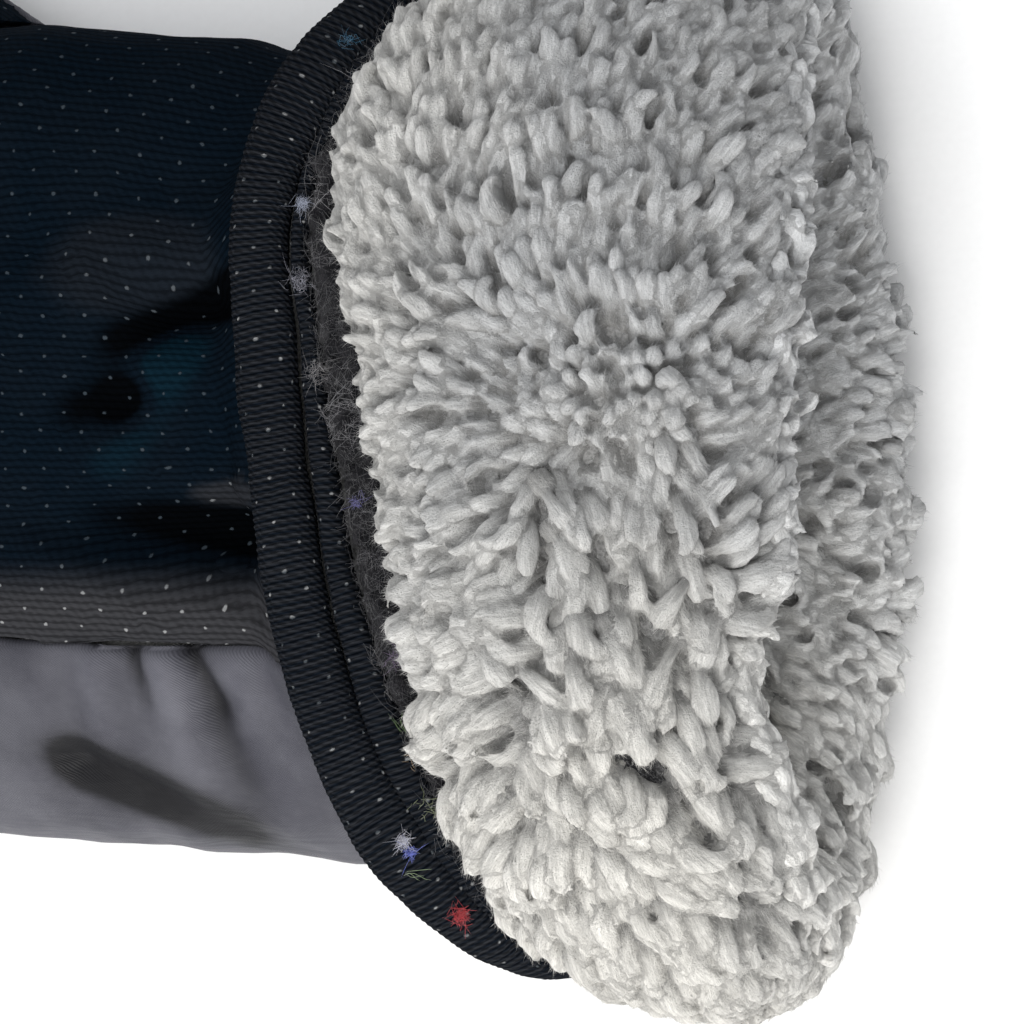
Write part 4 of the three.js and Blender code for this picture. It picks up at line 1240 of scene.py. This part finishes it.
def wisp_lines(line, half, normal, each):
    """Short middle lines that leave each lock near its tip and spread a little."""
    which = np.repeat(np.arange(len(line)), each)
    count = len(which)
    foot, tip = line[which, 4], line[which, -1]
    along = unit(tip - line[which, 5])
    side = unit(np.cross(normal[which], along))
    aside = chance.uniform(-0.8, 0.8, (count, 1)) * half[which][:, None]
    above = chance.uniform(0.0, 0.5, (count, 1)) * half[which][:, None]
    reach = chance.uniform(0.6, 2.0, (count, 1))
    start = foot + side * aside + normal[which] * above
    end = tip + side * aside * 0.5 + along * reach + normal[which] * chance.normal(-0.1, 0.35, (count, 1))
    t = np.linspace(0, 1, len(WISP_HALF))[None, :, None]
    bend = normal[which][:, None] * np.sin(t * math.pi) * 0.35
    return start[:, None] * (1 - t) + end[:, None] * t + bend, which


def tubes(line, normal, half, profile, sides, soles=False):
    """Closed tapered tubes round middle lines, as points, quads, triangles and root faces.

    With soles, each tube's underside reaches down into the backing, so no hollow is left under it.
    """
    count, rings = len(line), line.shape[1] - 1
    tangent = unit(line[:, 1:] - line[:, :-1])
    across = unit(np.cross(normal[:, None], tangent))
    over = np.cross(tangent, across)
    turn = np.linspace(0, 2 * math.pi, sides, endpoint=False)
    wide = (profile[..., :rings] * half[:, None])[..., None]
    uneven = 1 + SECTION_OF_LOCK["uneven"] * chance.normal(0, 1, (count, rings, sides))
    wide = wide * np.clip(uneven, SECTION_OF_LOCK["least"], SECTION_OF_LOCK["most"])
    rim = rings_round(line[:, :rings], across, over, turn, wide, SECTION_OF_LOCK["flat"])
    if soles:
        height = ((rim - line[:, :1, None]) * normal[:, None, None]).sum(axis=-1)
        drop = np.minimum(SOLE_DEPTH - height, 0) * SOLE_SHARE[None, :, None] * (np.sin(turn) < -0.3)
        rim = rim + drop[..., None] * normal[:, None, None]
    points = np.concatenate([rim.reshape(count, -1, 3), line[:, -1:]], axis=1)
    per = points.shape[1]
    base = (np.arange(count) * per)[:, None, None]
    quads = base + wall_quads(rings, sides)
    last, k = (rings - 1) * sides, np.arange(sides)
    caps = base + np.stack([last + k, last + (k + 1) % sides, np.full(sides, per - 1)], -1)[None]
    roots = base + k[::-1][None, None]
    return points.reshape(-1, 3), quads.reshape(-1, 4), caps.reshape(-1, 3), roots.reshape(-1, sides)


def melted(name, line, normal, half, profile, row):
    """Locks, the wisps at their tips and a dome at each root, melted together into one skin."""
    lock = tubes(line, normal, half, profile, 8, soles=True)
    rise = normal[:, None] * np.array(DOME["rise"])[None, :, None] * row["mat"]
    across = unit(line[:, 3] - line[:, 0])
    wide = np.full(len(half), row["apart"])
    dome = tubes(line[:, :1] + rise, across, wide, np.array(DOME["half"]), 8)
    pieces = [lock, dome]
    if row["wisps"]:
        thin, which = wisp_lines(line, half, normal, row["wisps"])
        pieces.append(tubes(thin, normal[which], chance.uniform(0.3, 0.5, len(which)), WISP_HALF, 5))
    shifts = np.cumsum([0] + [len(part[0]) for part in pieces])
    points = np.concatenate([part[0] for part in pieces])
    above_floor(points)
    quads, caps = (np.concatenate([part[k] + shift for part, shift in zip(pieces, shifts)]) for k in (1, 2))
    roots = [part[3] + shift for part, shift in zip(pieces, shifts)]
    piece = new_piece(name, points, quads, caps, roots)
    apply_modifier(piece, "REMESH", mode="VOXEL", voxel_size=row["grain"] * MM, use_smooth_shade=True)
    apply_modifier(piece, "SMOOTH", factor=EVEN_OUT, iterations=1)
    apply_modifier(piece, "DECIMATE", ratio=row["keep"])
    piece.data.shade_smooth()
    return piece


# How many rounds of averaging tell a hollow from the skin round it, and how fast they go.
HOLLOW_ROUNDS = 12
HOLLOW_PULL = 0.6


def hollows(piece):
    """How far each point lies below the skin round it, in mm. Crests are below zero."""
    points, outward = points_of(piece), normals_of(piece)
    ends = read(piece.data.edges, "vertices", 2)
    near, far = np.concatenate([ends, ends[:, ::-1]]).T
    count = len(points)
    links = np.maximum(np.bincount(near, minlength=count), 1)[:, None]
    soft = points
    for _ in range(HOLLOW_ROUNDS):
        total = np.column_stack([np.bincount(near, soft[far, k], count) for k in range(3)])
        soft = (1 - HOLLOW_PULL) * soft + HOLLOW_PULL * total / links
    return ((soft - points) * outward).sum(axis=1)


def nearest_locks(points, line):
    """The index of the lock that each point belongs to."""
    rings = line.shape[1]
    tree = KDTree(len(line) * rings)
    for index, place in enumerate(line.reshape(-1, 3).tolist()):
        tree.insert(place, index)
    tree.balance()
    return np.array([tree.find(point)[1] for point in points.tolist()]) // rings


def comb(piece, line, normal, tone):
    """Map the melted pile along and across each lock, and raise the strands that run along it."""
    points = points_of(piece)
    own = nearest_locks(points, line)
    foot = line[:, 0]
    ahead = unit(line[:, -1] - foot)
    side = unit(np.cross(normal, ahead))
    off = points - foot[own]
    across, along = (off * side[own]).sum(axis=1), (off * ahead[own]).sum(axis=1)
    strand = soft_noise(np.column_stack([across * 2.0, along * 0.4, own * 3.7]), 1.0, 81)
    push = RELIEF["strand"] * strand + RELIEF["matted"] * soft_noise(points, 1.3, 82)
    push = push + RELIEF["clump"] * soft_noise(points, 6.0, 83)
    move_points(piece, points + normals_of(piece) * push[:, None])
    mesh = piece.data
    corner = read(mesh.loops, "vertex_index")
    start, total = read(mesh.polygons, "loop_start"), read(mesh.polygons, "loop_total")
    # All corners of a face belong to one lock, so that no face's map runs from one to another.
    owner = np.repeat(own[corner[start]], total)
    off = points[corner] - foot[owner]
    length = np.linalg.norm(line[:, -1] - foot, axis=1)
    u = (off * side[owner]).sum(axis=1)
    v = (off * ahead[owner]).sum(axis=1) / length[owner]
    uv = np.column_stack([u, v]).astype(np.float32)
    mesh.uv_layers.new(name="cloth").data.foreach_set("uv", uv.ravel())
    set_number(piece, "tone", tone[own])
    set_number(piece, "hollow", hollows(piece))


def spikes(name, at, way, length, half, tone, material):
    """Fine straight fibres, each a slim pointed bar."""
    count = len(at)
    odd = np.tile((0.31, 0.57, 0.76), (count, 1))
    across = unit(np.cross(way, odd))
    over = np.cross(way, across)
    foot = rings_round(at, across, over, THREE_SIDES, half[:, None])
    points = np.concatenate([foot, (at + way * length[:, None])[:, None]], axis=1).reshape(-1, 3)
    above_floor(points)
    base = 4 * np.arange(count)[:, None]
    faces = np.concatenate([base + f for f in ((0, 1, 3), (1, 2, 3), (2, 0, 3), (2, 1, 0))], axis=1)
    uv = np.tile([(0.1, 0.9), (0.5, 0.9), (0.3, 1.0)] * 3 + [(0.1, 0.9)] * 3, (count, 1))
    piece = new_piece(name, points, triangles=faces.reshape(-1, 3), uv=uv)
    set_number(piece, "tone", np.repeat(tone, 4))
    dress(piece, material)


def past_edge(points, edge):
    """How far each point lies out of the cuff from the brushed strip's front, in mm."""
    line, half = edge
    centre = line.mean(axis=0)
    angle = np.arctan2(line[:, 2] - centre[2], line[:, 1] - centre[1])
    order = np.argsort(angle)
    around = np.arctan2(points[:, 2] - centre[2], points[:, 1] - centre[1])
    return points[:, 0] - np.interp(around, angle[order], (line[:, 0] + half)[order], period=2 * math.pi)


def edge_clear(points):
    """How far from the brushed strip the first locks stand."""
    return EDGE_GAP + EDGE_CLEAR * smooth_step(12, -26, points[:, 1])


def pile_roots(backing, edge):
    """Even roots for the locks: places, normals, the part of the pile and how big the lock is."""

    def wanted(points, normals):
        clear = edge_clear(points)
        outside = (outer_layer(points) > 0) & (past_edge(points, edge) > clear)
        inside = (outer_layer(points) <= 0) & (points[:, 0] > 8)
        return (outside | inside) & (normals[:, 2] > -0.985)

    at, normal = sample_surface(backing, ROOT_TRIES, wanted)
    outside = outer_layer(at) > 0
    faces_view = normal[:, 2] * math.cos(VIEW_TILT) + normal[:, 0] * math.sin(VIEW_TILT) > -0.3
    # The numbers of PILE_PARTS: upper 0, lower 1, far lip 2, beneath 3 and in the mouth 4.
    part = np.where(outside, np.where(at[:, 1] > PARTS_AT["lower_y"], 0, 1), 4)
    part[outside & ~faces_view] = 3
    on_lip = (faces_view & (at[:, 0] > PARTS_AT["lip_seen"])) | (at[:, 0] > PARTS_AT["lip_end"])
    part[~outside & on_lip] = 2
    part[(part == 3) & (at[:, 0] > PARTS_AT["lip_under"])] = 2
    size = 0.8 + 0.2 * smooth_step(0, 8, past_edge(at, edge)) + 0.08 * soft_noise(at, 16.0, 61)
    size *= np.where(part == 0, 1 + 0.35 * inside_oval(at, THICK) - 0.2 * inside_oval(at, UPRIGHT), 1)
    apart = np.array([row["apart"] for row in PILE_PARTS])[part] * size
    at_tips = [(*row["to"], row["half"] + ROOM["tip"]) for row in PROUD_LOCKS]
    at_gaps = [(row["x"], row["y"], row["radius"] + ROOM["gap"]) for row in BARE_PLACES]
    free = np.full(len(at), True)
    for x, y, room in at_tips + at_gaps:
        free &= (np.hypot(at[:, 0] - x, at[:, 1] - y) >= room) | (at[:, 2] <= TOP_ONLY)
    free = np.flatnonzero(free)
    kept = free[spaced_out(at[free], apart[free])]
    return at[kept], normal[kept], part[kept], size[kept]


def dropped_on(piece):
    """A way to ask where a mesh lies below a place seen from above, with its normal there."""
    tree = BVHTree.FromObject(piece, bpy.context.evaluated_depsgraph_get())

    def drop(x, y):
        hit, normal, _, _ = tree.ray_cast(Vector(to_row(np.array((x, y, 90.0)))), Vector((0, 0, -1)))
        return to_glove(np.array(hit)), np.array(normal)

    return drop


def bare_stitches(backing):
    """Dark stitches of the backing that show where the pile parts."""
    drop = dropped_on(backing)
    found = []
    for row in BARE_PLACES:
        scatter = chance.normal(0, 0.45 * row["radius"], (STITCHES_EACH, 2)) * (1.3, 0.8)
        found += [drop(x, y) for x, y in scatter + (row["x"], row["y"])]
    at, normal = (np.array(part) for part in zip(*found))
    count = len(at)
    way = unit(np.array((0.7, -0.7, 0.0)) + chance.normal(0, 0.35, (count, 3)))
    thread = thread_material("stitch_thread", STITCH_TONES["dark"], STITCH_TONES["light"])
    length, half = chance.uniform(0.6, 1.1, count), chance.uniform(0.10, 0.16, count)
    tone = chance.random(count)
    curled("lining_stitches", at, way, normal, length, half, tone, thread, bend=0.3)


def settle_backing(points):
    """Hold the lining under the knit's deep folds, and draw the rim in where the photograph does."""
    under = smooth_step(-4, -11, points[:, 0])[:, None]
    valleys = [fold for fold in KNIT_FOLDS if fold["deep"] > 0]
    folds = [{**fold, "wide": fold["wide"] + 1.5, "deep": fold["deep"] + 0.9} for fold in valleys]
    points = points + (press_folds(points, folds) - points) * under
    notch = np.exp(-(((points[:, 1] - RIM_NOTCH["y"]) / RIM_NOTCH["wide"]) ** 2))
    notch *= smooth_step(54, 70, points[:, 0]) * smooth_step(24, 34, points[:, 2])
    points[:, 0] -= RIM_NOTCH["deep"] * notch
    points[:, 1] += SIDE_DRAWN_IN * smooth_step(-48, -62, points[:, 1]) * smooth_step(8, 20, points[:, 0])
    return points


def bare_share(points, edge):
    """One where the dark knit of the backing shows, as at the bare places and beside the strip."""
    bare = np.zeros(len(points))
    for row in BARE_PLACES:
        far = np.hypot(points[:, 0] - row["x"], points[:, 1] - row["y"])
        bare = bare + smooth_step(row["radius"] + 2.2, row["radius"] + 0.6, far)
    bare = np.clip(bare, 0, 1) * (points[:, 2] > TOP_ONLY)
    at_edge = smooth_step(1.0, -0.4, past_edge(points, edge) - edge_clear(points))
    at_edge = at_edge * (outer_layer(points) > 0) * smooth_step(12, -4, points[:, 1])
    return np.maximum(bare, at_edge)


def fleece(pile, fibre, ground, edge):
    """The lining: its backing, and the locks and loose fibres that stand on it."""
    backing = soft_copy("fleece_backing", "fleece_lining", 2.0, 12)
    move_points(backing, settle_backing(points_of(backing)))
    at, normal, part, size = pile_roots(backing, edge)
    move_points(backing, points_of(backing) - normals_of(backing) * GROUND_SUNK)
    apply_modifier(backing, "DECIMATE", ratio=0.2)
    backing.data.shade_smooth()
    set_number(backing, "bare", bare_share(points_of(backing), edge))
    dress(backing, ground, "fleece_lining")
    bare_stitches(backing)
    way = pile_direction(at, normal)
    near_crease = smooth_step(4.0, 1.5, from_crease(at)) * (part <= 1)
    upright = inside_oval(at, UPRIGHT) * (part == 0)
    for index, row in enumerate(PILE_PARTS):
        mine = part == index
        count = mine.sum()
        low, stands = 1 - 0.3 * near_crease[mine], upright[mine]
        length = row["long"] * size[mine] * chance.uniform(0.8, 1.2, count) * low
        half = row["half"] * size[mine] * chance.uniform(0.8, 1.2, count) * (1 + 0.25 * stands)
        lift = chance.uniform(0.8, 1.25, count) * low * (1 + 0.8 * stands) * row["lift"]
        length *= 1 - 0.25 * stands
        roots = at[mine] - normal[mine] * ROOT_SUNK
        line = lock_lines(roots, normal[mine], way[mine], length, lift, 1 - 0.5 * stands)
        line = gather_tips(line, roots, row["tuft"], row["gather"])
        stand = normal[mine]
        profile = np.tile(PLAIN_HALF, (count, 1))
        if row["name"] == "pile_lower":
            proud = proud_locks(backing)
            line, stand, half = (np.concatenate(pair) for pair in zip((line, stand, half), proud))
            profile = np.vstack([profile, np.tile(PROUD_HALF, (len(PROUD_LOCKS), 1))])
        piece = melted(row["name"], line, stand, half, profile, row)
        # The tone carries the part's painted light as well as each lock's own random tone.
        comb(piece, line, stand, row["pale"] + chance.random(len(line)))
        dress(piece, pile)
        loose_fibres(piece, line, stand, row, fibre)


def proud_locks(backing):
    """The middle lines, normals and half widths of the long locks beside the parting."""
    drop = dropped_on(backing)
    line, half = [], []
    path = np.array([(step["ahead"], step["up"]) for step in LOCK_PATH])[:, 0]
    for row in PROUD_LOCKS:
        root, tip = drop(*row["at"])[0], drop(*row["to"])[0]
        sway = np.cross(unit(tip - root), (0, 0, 1.0)) * chance.normal(0, 0.8)
        middle = root + (tip - root) * path[:, None] + np.outer(np.sin(2.4 * path), sway)
        middle[:, 2] += row["rise"] * np.sin(math.pi * (0.12 + 0.62 * path)) - ROOT_SUNK
        line.append(middle)
        half.append(row["half"])
    return np.array(line), np.tile((0.2, 0.0, 0.98), (len(line), 1)), np.array(half)


def loose_fibres(piece, line, root_normal, row, material):
    """Fine fibres that have come away from the locks and stand off their surface."""
    area = sum(face.area for face in piece.data.polygons) / MM**2
    dense = FIBRE_TRIES * row["fibres"] / area
    at, normal = sample_surface(piece, dense, lambda points, normals: normals[:, 2] > -0.4)
    own = nearest_locks(at, line)
    outward = (normal * root_normal[own]).sum(axis=1) > -0.1
    at, normal, own = at[outward], normal[outward], own[outward]
    along = unit(line[own, -1] - line[own, 2])
    along = unit(along - (along * normal).sum(axis=1, keepdims=True) * normal * 0.8)
    count = len(at)
    standing = chance.random(count) < FIBRE["standing"]
    spread = np.where(standing, chance.uniform(0.5, 1.5, count), chance.uniform(0.05, 0.25, count))
    way = unit(along + normal * spread[:, None] + chance.normal(0, 0.18, at.shape))
    length = np.where(standing, chance.uniform(0.5, 1.3, count), chance.uniform(0.9, 2.2, count))
    half = chance.uniform(*FIBRE["half"], count)
    # The tone carries the part's painted light as well as each fibre's own random tone.
    tone = row["pale"] + chance.random(count)
    foot = at - normal * FIBRE["sunk"]
    spikes(row["name"] + "_fibres", foot, way, length, half, tone, material)


# What stands round the glove.
def floor():
    bpy.ops.mesh.primitive_plane_add(size=6.0, location=(0, 0, -0.0002))
    plane = bpy.context.object
    plane.name = "floor"
    material, n, shader = new_material("floor_paper", 0.85)
    where = n.add("ShaderNodeTexCoord").outputs["Object"]
    grain = n.noise(where, 900.0, 2.0)
    n.feed(shader.inputs["Base Color"], n.mix(grain, (0.86, 0.86, 0.86, 1), (0.90, 0.90, 0.90, 1)))
    plane.data.materials.append(material)
    plane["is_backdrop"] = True


def camera():
    lens = SENSOR * VIEW_DISTANCE / FRAME_WIDTH
    bpy.ops.object.camera_add()
    viewer = bpy.context.object
    viewer.data.sensor_width = SENSOR
    viewer.data.lens = lens
    viewer.data.clip_start, viewer.data.clip_end = NEAREST_SEEN, FARTHEST_SEEN
    back = Vector((math.sin(VIEW_TILT), 0, math.cos(VIEW_TILT)))
    right = Vector((math.cos(VIEW_TILT), 0, -math.sin(VIEW_TILT)))
    up = Vector((0, 1, 0))
    place = Vector(to_row(np.array(VIEW_TARGET))) + back * VIEW_DISTANCE * MM
    turn = Matrix((right, up, back)).transposed().to_4x4()
    viewer.matrix_world = Matrix.Translation(place) @ turn
    bpy.context.scene.camera = viewer


LIGHTS = rows(
    "name at size power tint",
    ("key", (0.12, -0.62, 0.60), 0.7, 8.0, (1.0, 0.985, 0.96)),
    ("fill", (-0.5, 0.5, 0.9), 1.0, 2.2, (0.93, 0.96, 1.0)),
    ("over", (0.25, 0.0, 1.5), 1.6, 11.0, (1, 1, 1)),
)


def lights():
    for row in LIGHTS:
        bpy.ops.object.light_add(type="AREA", location=row["at"])
        lamp = bpy.context.object
        lamp.name = row["name"]
        lamp.data.size = row["size"]
        lamp.data.energy = row["power"]
        lamp.data.color = row["tint"]
        lamp.rotation_euler = (-Vector(row["at"])).to_track_quat("-Z", "Y").to_euler()
    world = bpy.data.worlds.new("studio")
    bpy.context.scene.world = world
    world.use_nodes = True
    world.node_tree.nodes["Background"].inputs["Color"].default_value = (0.95, 0.97, 1.0, 1)
    world.node_tree.nodes["Background"].inputs["Strength"].default_value = 0.5
    bpy.context.scene.view_settings.view_transform = "Standard"


def glove():
    """Every piece of the glove, from the shell to the pile."""
    panel_knit, band_knit = knit_material("shell_knit"), knit_material("band_knit")
    woven = woven_material()
    brushed = brushed_material()
    pile = pile_material()
    ground = backing_material()
    shell_panel("knit_back", "back_panel", panel_knit, "black_knit", KNIT_FOLDS, keep=0.4)
    shell_panel(
        "woven_palm", "palm_panel", woven, "grey_woven", WOVEN_FOLDS, (3, 12), 1.1, keep=0.2, fine=1.6
    )
    shell_panel("knit_thumb", "thumb_back", panel_knit, "black_knit", keep=0.4)
    shell_panel("woven_thumb", "thumb_palm", woven, "grey_woven", keep=0.4)
    for pair in ("index_middle", "middle_ring", "ring_little"):
        strip = (f"knit_strip_{pair}", f"fourchette_{pair}")
        shell_panel(*strip, panel_knit, "black_knit", keep=0.3, fine=0.5)
    finger_gusset(panel_knit)
    band("knit_hem", "cuff_hem", 5.0, band_knit, 12)
    band("knit_facing", "hem_facing", 3.8, band_knit, 10)
    edge = middle_line("brushed_edge")
    brushed_edge(brushed)
    fleece(pile, pile_fibre_material(), ground, edge)


floor()
camera()
lights()
glove()

({
        "cad": [list(map(float, corner)) for corner in CAD_BOX],
        "visual": [list(map(float, corner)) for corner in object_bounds()],
    })
